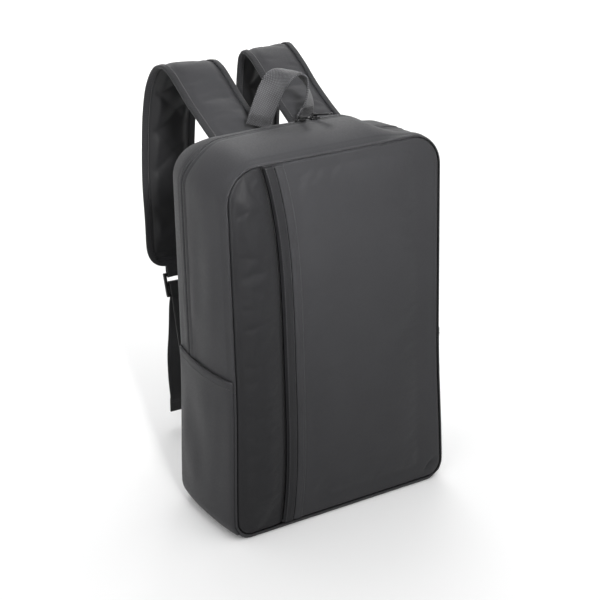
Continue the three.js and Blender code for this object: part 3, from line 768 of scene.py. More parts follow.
@dataclass(frozen=True)
class BagForm:
    """Outer form of the bag in millimetres, as in the part's source, with a deeper slump of the top's right end."""

    front_width: float = 270
    front_top: float = 428
    seam_lift: float = 4
    foot_depth: float = 125
    top_depth: float = 114
    front_lean: float = 22
    back_extra: float = 3
    back_drop: float = 4
    top_radius: float = 38
    foot_radius: float = 21
    side_bulge: float = 7
    top_bulge: float = 15
    top_taper: float = 0.35
    top_slump: float = 9
    slump_start: float = 50
    slump_width: float = 60
    foot_roll: float = 5
    pocket_flare: float = 6
    gusset: float = 2.8
    lip: float = 5
    gap: float = 0.3
    pocket_height: float = 194
    pocket_tuck: float = 12
    zip_side: float = 0.73
    zip_top: float = 0.665
    zip_dip: float = 0.05

    @property
    def half(self) -> float:
        """Half the front's width."""
        return self.front_width / 2

    @property
    def split(self) -> float:
        """Height where the upper gusset meets the lower one."""
        return self.pocket_height - self.pocket_tuck

    def front_y(self, z: float) -> float:
        """Front seam's place at a height."""
        return -self.foot_depth / 2 + self.front_lean * z / self.front_top

    def depth(self, z: float) -> float:
        """Depth of the bag at a height."""
        return lerp(self.foot_depth, self.top_depth, z / self.front_top)

    def back_y(self, z: float) -> float:
        """Back seam's place at a height."""
        return self.front_y(z) + self.depth(z)

    def sunk(self, x: float) -> float:
        """Share of the slump at the top's right end."""
        return smooth(x, self.slump_start, self.slump_start + self.slump_width)

    def place(self, spot: Spot, t: float, lift: float = 0.0) -> Vector:
        """Finds a point of the gusset.

        Args:
            spot: Place on the front seam.
            t: Share of the depth, 0 at the front seam.
            lift: Distance outwards from the form.

        Returns:
            The point in millimetres.
        """
        side, up, down = spot.nx**2, max(spot.nz, 0) ** 2, max(-spot.nz, 0) ** 2
        crown = 1 - abs(2 * t - 1) ** 2.4
        edge = max(min(t, 1 - t), 0) * self.depth(spot.z)
        roll = math.sqrt(1 - (1 - edge / self.foot_roll) ** 2) if edge < self.foot_roll else 1.0
        dome = self.top_bulge * (1 - self.top_taper * (spot.x / self.half) ** 2) * (1 - self.sunk(spot.x))
        slump = up * self.sunk(spot.x) * self.top_slump * smooth(t, 0.1, 0.45)
        out = (side * self.side_bulge + up * dome) * crown + down * self.seam_lift * roll + lift
        z = spot.z - up * self.back_drop * t - slump + spot.nz * out
        flare = self.pocket_flare * (1 - smooth(spot.z, 0, self.pocket_height))
        wider = 1 + (flare + self.back_extra * t) / self.half
        return Vector((spot.x * wider + spot.nx * out, lerp(self.front_y(z), self.back_y(z), t), z))

    def zip_share(self, spot: Spot) -> float:
        """Depth share of the main zip at a place on the seam."""
        up = max(spot.nz, 0) ** 2
        return lerp(self.zip_side, self.zip_top, up) - self.zip_dip * 4 * spot.nx**2 * up

    def _corner(self, side: float, top: bool, start: float, end: float) -> Corner:
        """One of the four corners, between two angles in degrees."""
        radius = self.top_radius if top else self.foot_radius
        z = self.front_top - radius if top else self.seam_lift + radius
        return Corner(side * (self.half - radius), z, radius, math.radians(start), math.radians(end))

    def seam(self, kind: str) -> Seam:
        """Finds a stretch of the front seam, clockwise seen from the front.

        Args:
            kind: upper, lower, left, pocket_left or pocket_right.

        Returns:
            The stretch.
        """
        half, top, foot = self.half, self.front_top - self.top_radius, self.seam_lift + self.foot_radius
        run, base = half - self.foot_radius, self.seam_lift
        low, mouth = self.split - self.gap, self.pocket_height
        crown = half - self.top_radius
        stretches = {
            "upper": (
                Line(-half, self.split, -half, top),
                self._corner(-1, True, 180, 90),
                Line(-crown, self.front_top, crown, self.front_top),
                self._corner(1, True, 90, 0),
                Line(half, top, half, self.split),
            ),
            "lower": (
                Line(half, low, half, foot),
                self._corner(1, False, 0, -90),
                Line(run, base, -run, base),
                self._corner(-1, False, -90, -180),
                Line(-half, foot, -half, low),
            ),
            "left": (
                self._corner(-1, False, -90, -180),
                Line(-half, foot, -half, top),
                self._corner(-1, True, 180, 90),
            ),
            "pocket_left": (self._corner(-1, False, -135, -180), Line(-half, foot, -half, mouth)),
            "pocket_right": (Line(half, mouth, half, foot), self._corner(1, False, 0, -45)),
        }
        return Seam(stretches[kind])


FORM = BagForm()


@dataclass
class Gussets:
    """The sides, top and bottom of the bag, with their rolled front edge.

    Attributes:
        cell: Size of a face in millimetres.
        zip_gap: Opening of the main zip.
        rim: How far the rolled edge comes forward at the front seam.
        hem: Width of the folded edge beside the zip.
        bend: Depth of the rolled edge behind the front.
        turned: Share of a half turn that the edge makes.
        rolled: Share of the edge's columns on that turn.
    """

    cell: float = 2.6
    zip_gap: float = 2.6
    rim: float = 1.1
    hem: float = 4.2
    bend: float = 3.2
    turned: float = 0.84
    rolled: float = 0.7

    def _soft(self, p: Vector, t: float, spot: Spot) -> float:
        """Gentle unevenness of the free cloth, none at the seams."""
        free = smooth(min(t, 1 - t), 0.02, 0.25)
        side = spot.nx**2
        vertical = ripple(Vector((p.y * 1.4, p.x, p.z * 0.35)), 34, 5.0) * 0.8 * side
        return free * (ripple(p, 60, 11.0) * 1.1 + vertical)

    def _hemmed(self, from_zip: float) -> float:
        """Lift of the folded edge beside the zip, by the distance from it."""
        return (
            0.8 * bump(from_zip, self.hem, 1.1)
            - 0.5 * bump(from_zip, self.hem - 1.8, 0.7)
            - 0.6 * bump(from_zip, self.hem + 2.2, 1.2)
        )

    def _upper(self, seam: Seam, spot: Spot, t: float) -> Vector:
        """Point of the upper gusset."""
        depth = FORM.depth(spot.z)
        from_zip = abs(t - FORM.zip_share(spot)) * depth - self.zip_gap / 2
        p = FORM.place(spot, t)
        to_back = (1 - t) * depth
        lift = self._soft(p, t, spot) * smooth(from_zip, 4, 18) + self._hemmed(from_zip)
        lift -= 0.8 * (1 - smooth(to_back, 0, 2.5))
        return FORM.place(spot, t, lift)

    def _lipped(self, spot: Spot, u: float, share: float, body: Callable[[Spot, float], Vector], last: float) -> Vector:
        """Point of a strip with its rolled edge, which turns in at the front seam.

        Args:
            spot: Place on the front seam.
            u: Share across the strip.
            share: Share of the columns that the edge takes.
            body: Point of the strip behind the edge.
            last: Depth share where the strip ends.

        Returns:
            The point in millimetres.
        """
        depth, bend = FORM.depth(spot.z), self.bend
        if u < share:
            turn = u / share
            a = math.pi * self.turned * (1 - min(turn / self.rolled, 1.0))
            out, behind = -1.0 + math.cos(a), 1.4 - self.rim * math.sin(a)
            behind = lerp(behind, bend, max((turn - self.rolled) / (1 - self.rolled), 0.0))
            return FORM.place(spot, 0.0, out + 0.5 * bump(behind, bend, 1.6)) + Vector((0, behind, 0))
        t = lerp(bend / depth, last, (u - share) / (1 - share))
        p = body(spot, t)
        behind = t * depth
        ridge = 0.5 * bump(behind, bend, 1.6) - 0.8 * bump(behind, bend + 3.2, 1.5)
        return p + Vector((spot.nx, 0, spot.nz)) * ridge

    def build(self) -> dict[str, bpy.types.Object]:
        """Builds the three strips.

        Returns:
            The pieces by name.
        """
        upper, lower = FORM.seam("upper"), FORM.seam("lower")
        half_gap = self.zip_gap / 2

        def front(u: float, v: float) -> Vector:
            """Upper gusset before the zip."""
            spot = upper.spot(v)
            last = FORM.zip_share(spot) - half_gap / FORM.depth(spot.z)
            return self._lipped(spot, u, 0.22, lambda s, t: self._upper(upper, s, t), last)

        def back(u: float, v: float) -> Vector:
            """Upper gusset behind the zip."""
            spot = upper.spot(v)
            first = FORM.zip_share(spot) + half_gap / FORM.depth(spot.z)
            return self._upper(upper, spot, lerp(first, 1.0, u))

        def foot(u: float, v: float) -> Vector:
            """Lower gusset with the bottom."""

            def body(spot: Spot, t: float) -> Vector:
                """Point behind the rolled edge."""
                p = FORM.place(spot, t)
                flat = max(-spot.nz, 0) ** 2
                lift = self._soft(p, t, spot) * (1 - flat) - 0.8 * (1 - smooth((1 - t) * FORM.depth(spot.z), 0, 2.5))
                q = FORM.place(spot, t, lift * (1 - flat))
                q.z = max(q.z, 0.0)
                return q

            q = self._lipped(lower.spot(v), u, 0.16, body, 1.0)
            q.z = max(q.z, 0.0)
            return q

        rows = {"upper": round(upper.length / self.cell), "lower": round(lower.length / self.cell)}
        pieces = {}
        for name, form, columns, run, thickness in (
            ("gusset_front", front, 46, "upper", 1.6),
            ("gusset_back", back, 18, "upper", 1.6),
            ("gusset_lower", foot, 54, "lower", 1.6),
        ):
            cloth = Cloth(name, form, columns, rows[run], thickness, Finish.POLYESTER, "polyester")
            pieces[name] = cloth.make()
        self._stitch(pieces, upper)
        return pieces

    def _stitch(self, pieces: dict[str, bpy.types.Object], upper: Seam) -> None:
        """Sews both edges of the main zip."""
        sewing = Sewing("main_zip_stitches")
        for name, sign in (("gusset_front", -1), ("gusset_back", 1)):
            line = []
            for i in range(281):
                spot = upper.spot(i / 280)
                away = (self.zip_gap / 2 + self.hem - 1.8) / FORM.depth(spot.z)
                line.append(FORM.place(spot, FORM.zip_share(spot) + sign * away))
            sewing.line(pieces[name], line)
        sewing.save()


@dataclass
class MainZip:
    """Tape and coil of the zip over the top.

    Attributes:
        tape_width: Width of the tape.
        coil_width: Width of the coil that shows.
        coil_sink: Middle of the coil below the cloth's face.
        tooth: Distance between teeth, drawn.
    """

    tape_width: float = 22
    coil_width: float = 2.3
    coil_sink: float = 0.9
    tooth: float = 1.9

    def build(self) -> None:
        """Builds the tape and the coil."""
        upper = FORM.seam("upper")

        def tape(u: float, v: float) -> Vector:
            """Tape under the gussets' hems."""
            spot = upper.spot(v)
            t = FORM.zip_share(spot) + (u - 0.5) * self.tape_width / FORM.top_depth
            return FORM.place(spot, t, -FORM.gusset - FORM.gap)

        rows = round(upper.length / 4)
        Cloth("main_zip_tape", tape, 8, rows, 1.0, Finish.TAPE, "zip_tape").make()
        line = [upper.spot(i / 300) for i in range(301)]
        points = [FORM.place(s, FORM.zip_share(s), -self.coil_sink) for s in line]
        coil = Sewing("main_zip_coil_teeth", Finish.NYLON)
        teeth = spaced(points, self.tooth)
        for middle, along in teeth:
            up = (middle - Vector((middle.x * 0.6, middle.y, middle.z * 0.6))).normalized()
            across = up.cross(along).normalized()
            coil.bead(middle, across, up, Vector((self.coil_width * 0.5, 0.62, 0.6)))
        piece = coil.save()
        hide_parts("main_zip_coil")


@dataclass
class SidePockets:
    """The slip pockets low on both sides.

    Attributes:
        stand: Distance of the pocket from the side behind it.
        ease: How far the mouth stands off.
        thickness: Thickness of the cloth.
        hem: Width of the folded mouth.
    """

    stand: float = 0.6
    ease: float = 1.4
    thickness: float = 1.6
    hem: float = 11.0

    def _form(self, seam: Seam, u: float, v: float) -> Vector:
        """Point of a pocket's outer face."""
        spot = seam.spot(v)
        t = lerp(0.02, 0.985, u)
        high = smooth(spot.z, FORM.pocket_height * 0.8, FORM.pocket_height)
        ease = self.ease * high * (1 - (2 * u - 1) ** 4)
        down = FORM.pocket_height - spot.z
        hem = 0.35 * (1 - smooth(down, self.hem - 1.5, self.hem + 0.5)) - 0.25 * bump(down, self.hem - 2, 0.9)
        hem -= 1.0 * (1 - smooth(down, 0, 1.8))
        edge = smooth(min(u, 1 - u), 0.0, 0.03)
        p = FORM.place(spot, t)
        soft = ripple(Vector((p.y, p.x, p.z * 0.4)), 36, 21.0) * 1.6 + ripple(p, 60, 4.0) * 1.2
        sag = 1.0 * math.sin(math.pi * u) * bump(down, 26, 26)
        free = smooth(min(u, 1 - u), 0.02, 0.22) * smooth(spot.z, 20, 70)
        lift = self.stand + self.thickness + ease + hem + free * (soft + sag)
        return FORM.place(spot, t, lerp(0.4, lift, edge))

    def build(self) -> None:
        """Builds both pockets with the stitches of their mouths."""
        sewing = Sewing("side_pocket_stitches")
        for side in ("left", "right"):
            seam = FORM.seam("pocket_" + side)

            def form(u: float, v: float, seam: Seam = seam) -> Vector:
                """Outer face of this pocket."""
                return self._form(seam, u, v)

            name = "side_pocket_" + side
            rows = round(seam.length / 2.6)
            piece = Cloth(name, form, 48, rows, 1.4, Finish.POLYESTER, "polyester").make()
            share = (self.hem - 2) / seam.length
            v = 1 - share if side == "left" else share
            sewing.line(piece, [form(i / 60, v) for i in range(1, 60)])
        sewing.save()


@dataclass
class FrontPanel:
    """The front: padded panel, soft pocket strip, the curved zip between them and its two stripes.

    Attributes:
        crown: How far the panel is domed.
        seam_inset: Its sewn edge from the side of the bag.
        seam_roll: How far that edge rolls back into the seam.
        strip_bulge: How far the pocket strip swells.
        strip_tuck: How far its edge turns in at the zip.
        zip_offset: Zip line left of the middle.
        zip_sweep: How far the line swings out at the top.
        zip_waist: Height where the line is nearest the middle.
        zip_gap: Opening of the zip.
        stripe: Width of each stripe.
        pucker: Place of the small pucker at the bottom right.
        rows: Faces along the height.
    """

    crown: float = 0.6
    seam_inset: float = 2.4
    seam_roll: float = 2.2
    strip_bulge: float = 7
    strip_tuck: float = 2
    zip_offset: float = 73
    zip_sweep: float = 20
    zip_waist: float = 195
    zip_gap: float = 3
    stripe: float = 11.5
    pucker: tuple[float, float] = (122, 22)
    rows: int = 170
    edge: Seam = field(default_factory=lambda: FORM.seam("left"))

    def row(self, v: float) -> Vector:
        """Left end of a row of the front, by its share of the left seam."""
        return FORM.place(self.edge.spot(v), 0, -self.seam_inset)

    def zip_line(self, z: float) -> float:
        """Place of the zip across the front at a height."""
        return -self.zip_offset - self.zip_sweep * abs((z - self.zip_waist) / (FORM.front_top - self.zip_waist)) ** 3.5

    def skin(self, x: float, row: Vector) -> float:
        """Depth of the panel's face at a place of a row."""
        low, high = self.row(0).z, self.row(1).z
        to_edge = min(-row.x - abs(x), row.z - low, high - row.z)
        rolled = self.seam_roll * (1 - smooth(to_edge, -0.4, 2.4))
        return FORM.front_y(row.z) + rolled - self.crown * smooth(to_edge, 1, 16)

    def _panel(self, u: float, v: float) -> Vector:
        """Point of the padded panel."""
        row = self.row(v)
        left, right = self.zip_line(row.z) + self.zip_gap / 2, -row.x
        x = lerp(left, right, u)
        from_zip = x - left
        y = self.skin(x, row) + 1.2 * (1 - smooth(from_zip, 0, 2.2))
        free = smooth(min(right - x, row.z - 10, 425 - row.z), 4, 50) * smooth(from_zip, 24, 60)
        p = Vector((x, 0, row.z))
        y -= free * (ripple(p, 90, 2.0) * 1.2 + ripple(Vector((x, 0, row.z * 0.35)), 40, 8.0) * 0.5)
        right_of, above = x - self.pucker[0], row.z - self.pucker[1]
        y += 3.6 * bump(right_of * 0.7 - above * 0.72, 0, 2.6) * bump(right_of * 0.72 + above * 0.7, 0, 9)
        return Vector((x, y, row.z))

    def _strip(self, u: float, v: float) -> Vector:
        """Point of the soft strip left of the zip."""
        row = self.row(v)
        low, high = self.row(0).z, self.row(1).z
        x = lerp(row.x, self.zip_line(row.z) - self.zip_gap / 2, u)
        free = smooth(min(row.z - low, high - row.z), FORM.lip, FORM.lip + 40)
        swell = self.strip_bulge * free * smooth(u, 0.1, 0.35) * max(math.sin(math.pi * min(u, 1.0)), 0.0) ** 0.7
        p = Vector((x, 0, row.z * 0.5))
        soft = free * smooth(min(u, 1 - u), 0.05, 0.3) * ripple(p, 30, 14.0) * 0.9
        y = self.skin(x, row) + self.strip_tuck * u**6 - swell - soft
        return Vector((x, y, row.z))

    def _stripe(self, start: float, lift: float, crease: float) -> Form:
        """Makes the form of a stripe sewn beside the zip.

        Args:
            start: Its left edge from the zip line.
            lift: How far it stands on the panel.
            crease: Depth of its faint lengthwise folds.

        Returns:
            The form.
        """
        low, high = 0.012, 0.985

        def form(u: float, v: float) -> Vector:
            """Point of the stripe's face."""
            row = self.row(lerp(low, high, v))
            x = max(self.zip_line(row.z) + start + u * self.stripe, row.x + FORM.lip)
            edge = smooth(min(u, 1 - u), 0.0, 0.16)
            round_face = math.sin(math.pi * u) ** 0.6 if 0 < u < 1 else 0.0
            sewn = smooth(min(v, 1 - v), 0.0, 0.012)
            folds = crease * math.sin(u * 15 + 2.2 * ripple(Vector((0, 0, row.z)), 60, start))
            y = self.skin(x, row) - (lift * (0.25 + 0.75 * edge) + 0.6 * round_face + folds * edge) * sewn
            return Vector((x, y, row.z))

        return form

    def build(self) -> None:
        """Builds the pieces of the front."""
        panel = Cloth(
            "front_panel", self._panel, 70, self.rows, 5.6, Finish.POLYESTER, "polyester", held="", fill=0.35,
            settle=Settle(2.0, 0.004, 2.5, 26),
        ).make()
        strip = Cloth(
            "front_pocket_panel", self._strip, 26, self.rows, 2.2, Finish.DARK, "dark_polyester",
            settle=Settle(2.0, 0.01, 3.0, 8),
        ).make()
        start = self.zip_gap / 2 + FORM.gap
        welt_form = self._stripe(start, 1.7, 0.12)
        band_form = self._stripe(start + self.stripe + FORM.gap, 1.5, 0.2)
        welt = Cloth("front_zip_welt", welt_form, 12, self.rows, 1.2, Finish.DARK, "dark_polyester").make()
        band = Cloth("front_zip_band", band_form, 12, self.rows, 1.2, Finish.POLYESTER, "polyester").make()
        self._zip()
        sewing = Sewing("front_zip_stitches", pitch=2.8)
        count = 160
        for piece, form, u in ((welt, welt_form, 0.13), (welt, welt_form, 0.9), (band, band_form, 0.88)):
            sewing.line(piece, [form(u, i / count) for i in range(1, count)])
        sewing.save()
        LOG.info("front: %s, %s", panel.name, strip.name)

    def _zip(self) -> None:
        """Builds the tape and the coil of the front zip."""

        def tape(u: float, v: float) -> Vector:
            """Tape behind the panel."""
            row = self.row(v)
            x = self.zip_line(row.z) + (u - 0.5) * 22
            return Vector((x, self.skin(x, row) + 6.3, row.z))

        Cloth("front_zip_tape", tape, 8, 100, 1.0, Finish.TAPE, "zip_tape").make()
        points = []
        for i in range(201):
            row = self.row(0.012 + 0.976 * i / 200)
            x = self.zip_line(row.z)
            points.append(Vector((x, self.skin(x, row) + 3.2, row.z)))
        coil = Sewing("front_zip_coil_teeth", Finish.NYLON)
        ahead = Vector((0, -1, 0))
        for middle, along in spaced(points, 1.9):
            coil.bead(middle, ahead.cross(along).normalized(), ahead, Vector((1.15, 0.6, 0.8)))
        piece = coil.save()
        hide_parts("front_zip_coil")


@dataclass
class BackPanel:
    """The padded back, plain, with a rolled edge at the seam.

    Attributes:
        thickness: Thickness of the padding.
        crown: How far it is domed.
    """

    thickness: float = 4.5
    crown: float = 2.5
    edge: Seam = field(default_factory=lambda: FORM.seam("left"))

    def _form(self, u: float, v: float) -> Vector:
        """Point of the back's face."""
        spot = self.edge.spot(v)
        end = FORM.place(spot, 1, -FORM.gusset - FORM.gap)
        x = lerp(end.x, -end.x, u)
        z = end.z - max(spot.nz, 0) ** 2 * FORM.top_slump * FORM.sunk(x)
        to_edge = min(-end.x - abs(x), z - 6, FORM.front_top - FORM.back_drop - z)
        soft = self.crown * smooth(to_edge, 2, 40) + ripple(Vector((x, 0, z)), 80, 40.0) * 0.9 * smooth(to_edge, 6, 50)
        seam = -0.8 * (1 - smooth(to_edge, 0, 3)) + 0.5 * bump(to_edge, 6, 2.2) - 0.6 * bump(to_edge, 11, 1.6)
        return Vector((x, FORM.back_y(z) + soft + seam, z))

    def build(self) -> bpy.types.Object:
        """Builds the back.

        Returns:
            The piece.
        """
        return Cloth(
            "back_panel", self._form, 92, 140, self.thickness, Finish.POLYESTER, "polyester", held="", fill=0.5,
            settle=Settle(2.0, 0.004, 3.0, 22),
        ).make()


# Straps, handle and webbing


def curve_through(points: Sequence[Vector]) -> Callable[[float], Vector]:
    """Smooth curve through points, evenly paced by their number.

    Args:
        points: Points in millimetres.

    Returns:
        The point at a share of the curve.
    """
    ends = [points[0] * 2 - points[1], *points, points[-1] * 2 - points[-2]]

    def at(share: float) -> Vector:
        """Point at a share."""
        place = min(max(share, 0.0), 1.0) * (len(points) - 1)
        k = min(int(place), len(points) - 2)
        w = place - k
        p0, p1, p2, p3 = ends[k : k + 4]
        d1 = max((p2 - p1).length ** 0.5, 1e-4)
        d0, d2 = max((p1 - p0).length ** 0.5, 1e-4), max((p3 - p2).length ** 0.5, 1e-4)
        t1 = ((p1 - p0) / d0 - (p2 - p0) / (d0 + d1) + (p2 - p1) / d1) * d1
        t2 = ((p2 - p1) / d1 - (p3 - p1) / (d1 + d2) + (p3 - p2) / d2) * d1
        c2, c3 = (p2 - p1) * 3 - t1 * 2 - t2, (p1 - p2) * 2 + t1 + t2
        return p1 + t1 * w + c2 * w * w + c3 * w * w * w

    return at


def column(values: Sequence[float], share: float) -> float:
    """Value of a table's column at a share of its rows."""
    place = min(max(share, 0.0), 1.0) * (len(values) - 1)
    k = min(int(place), len(values) - 2)
    return lerp(values[k], values[k + 1], place - k)


@dataclass(frozen=True)
class Station:
    """A place on a band: its middle, its width and outward directions and its half width."""

    middle: Vector
    width: Vector
    out: Vector
    along: Vector
    half: float

    def point(self, across: float, lift: float) -> Vector:
        """Point at a distance across and a lift."""
        return self.middle + self.width * across + self.out * lift


@dataclass
class Handle:
    """The carrying handle: an arch of webbing that leans to the right and twists as it rises.

    Attributes:
        offset: Its middle from the middle of the bag.
        span: Distance of its feet.
        rise: Height of its top.
        width: Width of the webbing.
        thickness: Thickness of the webbing.
        inset: Its feet in front of the back seam.
        rows: Its route: share of half the span, share of the rise and turn in degrees.
    """

    offset: float = -4
    span: float = 59
    rise: float = 56
    width: float = 28
    thickness: float = 2
    inset: float = 6
    rows: tuple[tuple[float, float, float], ...] = (
        (-1, 0, 14), (-0.86, 0.22, 18), (-0.68, 0.44, 22), (-0.46, 0.68, 28), (-0.2, 0.88, 38), (0.12, 0.98, 50),
        (0.5, 1, 64), (0.82, 0.93, 84), (1.03, 0.76, 106), (1.18, 0.5, 126), (1.2, 0.24, 146), (1.06, 0, 166),
    )

    def build(self) -> None:
        """Builds the handle and the black bar tacks at its feet, which paint the shade there."""
        turn = [row[2] for row in self.rows]
        y = FORM.back_y(FORM.front_top) - self.inset
        reach = self.width / 2 * math.sin(math.radians(turn[0])) + self.thickness
        t = (y - reach - FORM.front_y(FORM.front_top)) / FORM.top_depth
        foot = FORM.place(Spot(0, FORM.front_top, 0, 1), t).z + FORM.gap
        curve = curve_through(
            [Vector((self.offset + out * self.span / 2, y, foot + up * self.rise)) for out, up, _ in self.rows]
        )

        @lru_cache(maxsize=None)
        def station(v: float) -> Station:
            """Place at a share of the arch."""
            along = (curve(v + 0.002) - curve(v - 0.002)).normalized()
            a = math.radians(column(turn, v))
            width = Vector((math.cos(a), -math.sin(a), 0))
            width = (width - along * width.dot(along)).normalized()
            return Station(curve(v), width, width.cross(along), along, self.width / 2)

        def form(u: float, v: float) -> Vector:
            """Point of the webbing's middle layer."""
            s = station(v)
            across = (2 * u - 1) * s.half
            cup = -1.2 * (2 * u - 1) ** 2 + 0.3 * ripple(Vector((across, 0, v * 200)), 18, 3.0)
            return s.point(across, cup)

        inside = Vector((self.offset, y, foot + self.rise * 0.3))
        piece = Cloth(
            "top_handle", form, 20, 110, self.thickness, Finish.WEBBING, "webbing", inside, held="", wall=0
        ).make()
        # Nine rows of black bar tacks at each foot: painted shade where the handle's feet meet the bag.
        shade_tacks = Sewing("handle_bar_tacks_painted_shade", Finish.PAINTED_SHADE_THREAD, 1.7, 0.5)
        first, apart = 0.008, 0.0095
        for near in (0.0, 1.0):
            for step in range(9):
                v = abs(near - first - step * apart)
                for lift in (1.2, -1.2):
                    line = [station(v).point(station(v).half * x / 10, lift) for x in range(-9, 10)]
                    shade_tacks.line(piece, line, 0.15)
        shade_tacks.save()


@dataclass(frozen=True)
class StrapTable:
    """Route of one strap: shares of its reach, rise and drop, its outward shift and turn by row."""

    hand: int
    out: tuple[float, ...]
    up: tuple[float, ...]
    down: tuple[float, ...]
    shift: tuple[float, ...]
    turn: tuple[float, ...]


LEFT_ROUTE = StrapTable(
    -1,
    (0, 0.126, 0.309, 0.457, 0.571, 0.669, 0.783, 0.897, 0.96, 0.99, 1, 0.985),
    (0, 0.2, 0.48, 0.75, 0.94, 1, 0.88, 0.45, 0, 0, 0, 0),
    (0, 0, 0, 0, 0, 0, 0, 0, 0.045, 0.25, 0.48, 0.71),
    (0, 0, 0, 0, 0, 0.1, 0.2, 0.4, 0.6, 0.8, 1, 1),
    (0, 3, 6, 8, 9, 10, 9, 7, 6, 5, 5, 5),
)
RIGHT_ROUTE = StrapTable(
    1,
    (0, 0.126, 0.309, 0.5, 0.64, 0.72, 0.79, 0.83, 0.85, 0.87, 0.88, 0.87),
    (0, 0.179, 0.473, 0.84, 1.029, 1.05, 0.903, 0.473, 0, 0, 0, 0),
    (0, 0, 0, 0, 0, 0, 0, 0, 0.045, 0.25, 0.48, 0.71),
    (0, 0.1, 0.3, 0.6, 0.9, 1.1, 1.2, 1.3, 1.4, 1.4, 1.4, 1.4),
    (0, 3, 5, 7, 8, 9, 10, 10, 9, 8, 6, 5),
)


@dataclass
class ShoulderStrap:
    """One padded shoulder strap with its binding and lining.

    Attributes:
        side: left or right.
        table: Its route.
        offset: Middle of both straps from the middle of the bag.
        spread: Root from that middle.
        width: Width of the strap.
        reach: How far it stands out behind the bag.
        rise: Ridge above the root.
        drop: Lower end below the root.
        shift: How far the hanging part swings outwards.
        upper: Outer half of the pad's thickness.
        lower: Inner half of it.
        rim: Half thickness under the binding.
        shoulder: Width over which the pad swells.
        lap: Width of the binding on each face.
        tape: Thickness of the binding.
        tip: How far the middle of the end stands past its corners.
    """

    side: str
    table: StrapTable
    offset: float = -4
    spread: float = 51
    width: float = 68
    reach: float = 170
    rise: float = 55
    drop: float = 206
    shift: float = 4
    upper: float = 3.2
    lower: float = 2.2
    rim: float = 0.8
    shoulder: float = 6
    lap: float = 8
    tape: float = 1
    tip: float = 2

    def __post_init__(self) -> None:
        """Works out the route."""
        t = self.table
        root = FORM.front_top - FORM.back_drop - 2.5
        tails = ((-0.004, 0.9, 0.99), (-0.02, 0.945, 0.94), (-0.0325, 0.98, 0.82), (-0.04, 1.0, 0.62))
        rows = list(zip(t.out, t.up, t.down, t.shift)) + [(t.out[-1] + o, 0, d, t.shift[-1]) for o, d, _ in tails]
        self.turns = [*t.turn, 5, 5, 5, 5]
        self.halves = [1.0] * len(t.out) + [h for _, _, h in tails]
        back = FORM.back_y(root) + FORM.gap
        self.curve = curve_through(
            [
                Vector(
                    (
                        self.offset + t.hand * (self.spread + self.shift * swing),
                        back + self.reach * out,
                        root + self.rise * up - self.drop * down,
                    )
                )
                for out, up, down, swing in rows
            ]
        )
        self.inside = Vector((self.offset + t.hand * (self.spread + 2), 120, 330))
        self.stations: dict[float, Station] = {}
        self.marks = [0.0]
        for i in range(400):
            self.marks.append(self.marks[-1] + (self.curve((i + 1) / 400) - self.curve(i / 400)).length)

    def share_at(self, v: float) -> float:
        """Share of the curve's rows at a share of its length."""
        want = min(max(v, 0.0), 1.0) * self.marks[-1]
        k = next((i for i, m in enumerate(self.marks) if m >= want), 400)
        if k == 0:
            return 0.0
        span = self.marks[k] - self.marks[k - 1]
        return (k - 1 + (want - self.marks[k - 1]) / max(span, 1e-9)) / 400

    def station(self, v: float) -> Station:
        """Place at a share of the strap's length."""
        key = round(v, 6)
        if key not in self.stations:
            s = self.share_at(v)
            step = 0.003
            along = (self.curve(s + step) - self.curve(s - step)).normalized()
            turn = math.radians(column(self.turns, s))
            width = Vector((math.cos(turn), self.table.hand * math.sin(turn), 0))
            width = (width - along * width.dot(along)).normalized()
            half = self.width / 2 * column(self.halves, s)
            self.stations[key] = Station(self.curve(s), width, width.cross(along), along, half)
        return self.stations[key]

    @property
    def length(self) -> float:
        """Length of the strap."""
        return self.marks[-1]

    def _swell(self, v: float, across: float, half: float, rise: float) -> float:
        """Lift of the pad's face at a distance across it."""
        to_edge = min(half - abs(across), (1 - v) * self.length - self.lap)
        groove = 0.9 * bump(to_edge, self.lap + 1.0, 1.2)
        return lerp(self.rim, rise, smooth(to_edge, self.lap - 0.5, self.lap + self.shoulder + 4)) - groove

    def _pad(self, u: float, v: float) -> Vector:
        """Point of the pad's closed skin, round its section."""
        v = min(v, 1 - 3.4 / self.length)
        s = self.station(v)
        half = s.half - 1.8
        a = u * 2 * math.pi
        across = half * math.cos(a) / max(abs(math.cos(a)) ** 0.15, 1e-6) if abs(math.cos(a)) > 1e-6 else 0.0
        face = math.sin(a)
        rise = self.upper if face >= 0 else self.lower
        lift = self._swell(v, across, s.half, rise) * (1 if face >= 0 else -1)
        lift *= min(1.0, (1 - (abs(across) / half) ** 8) * 4)
        soft = ripple(s.point(across, 0), 38, 7.0 + self.table.hand) * 0.7 * smooth(s.half - abs(across), 10, 22)
        return s.point(across, lift + (soft if face > 0 else 0))

    def _edge_line(self) -> list[tuple[Vector, Vector, Vector]]:
        """Places round the strap's edge: point, direction out of the pad, outward direction of its face."""
        count = round(self.length / 3)
        sides = {sign: [self.station(i / count) for i in range(count + 1)] for sign in (-1, 1)}
        end = self.station(1.0)
        rim = [(s.point(-s.half, 0), s.width * -1, s.out) for s in sides[-1]]
        for k in range(1, 14):
            x = -1 + 2 * k / 14
            at = end.point(end.half * x, 0) + end.along * self.tip * (1 - x * x)
            rim.append((at, (end.along + end.width * x * 0.4).normalized(), end.out))
        rim += [(s.point(s.half, 0), s.width, s.out) for s in reversed(sides[1])]
        for _ in range(3):
            for i in range(count - 8, len(rim) - count + 8):
                p = (rim[i - 1][0] + rim[i][0] * 2 + rim[i + 1][0]) / 4
                d = (rim[i - 1][1] + rim[i][1] * 2 + rim[i + 1][1]).normalized()
                rim[i] = (p, d, rim[i][2])
        return rim

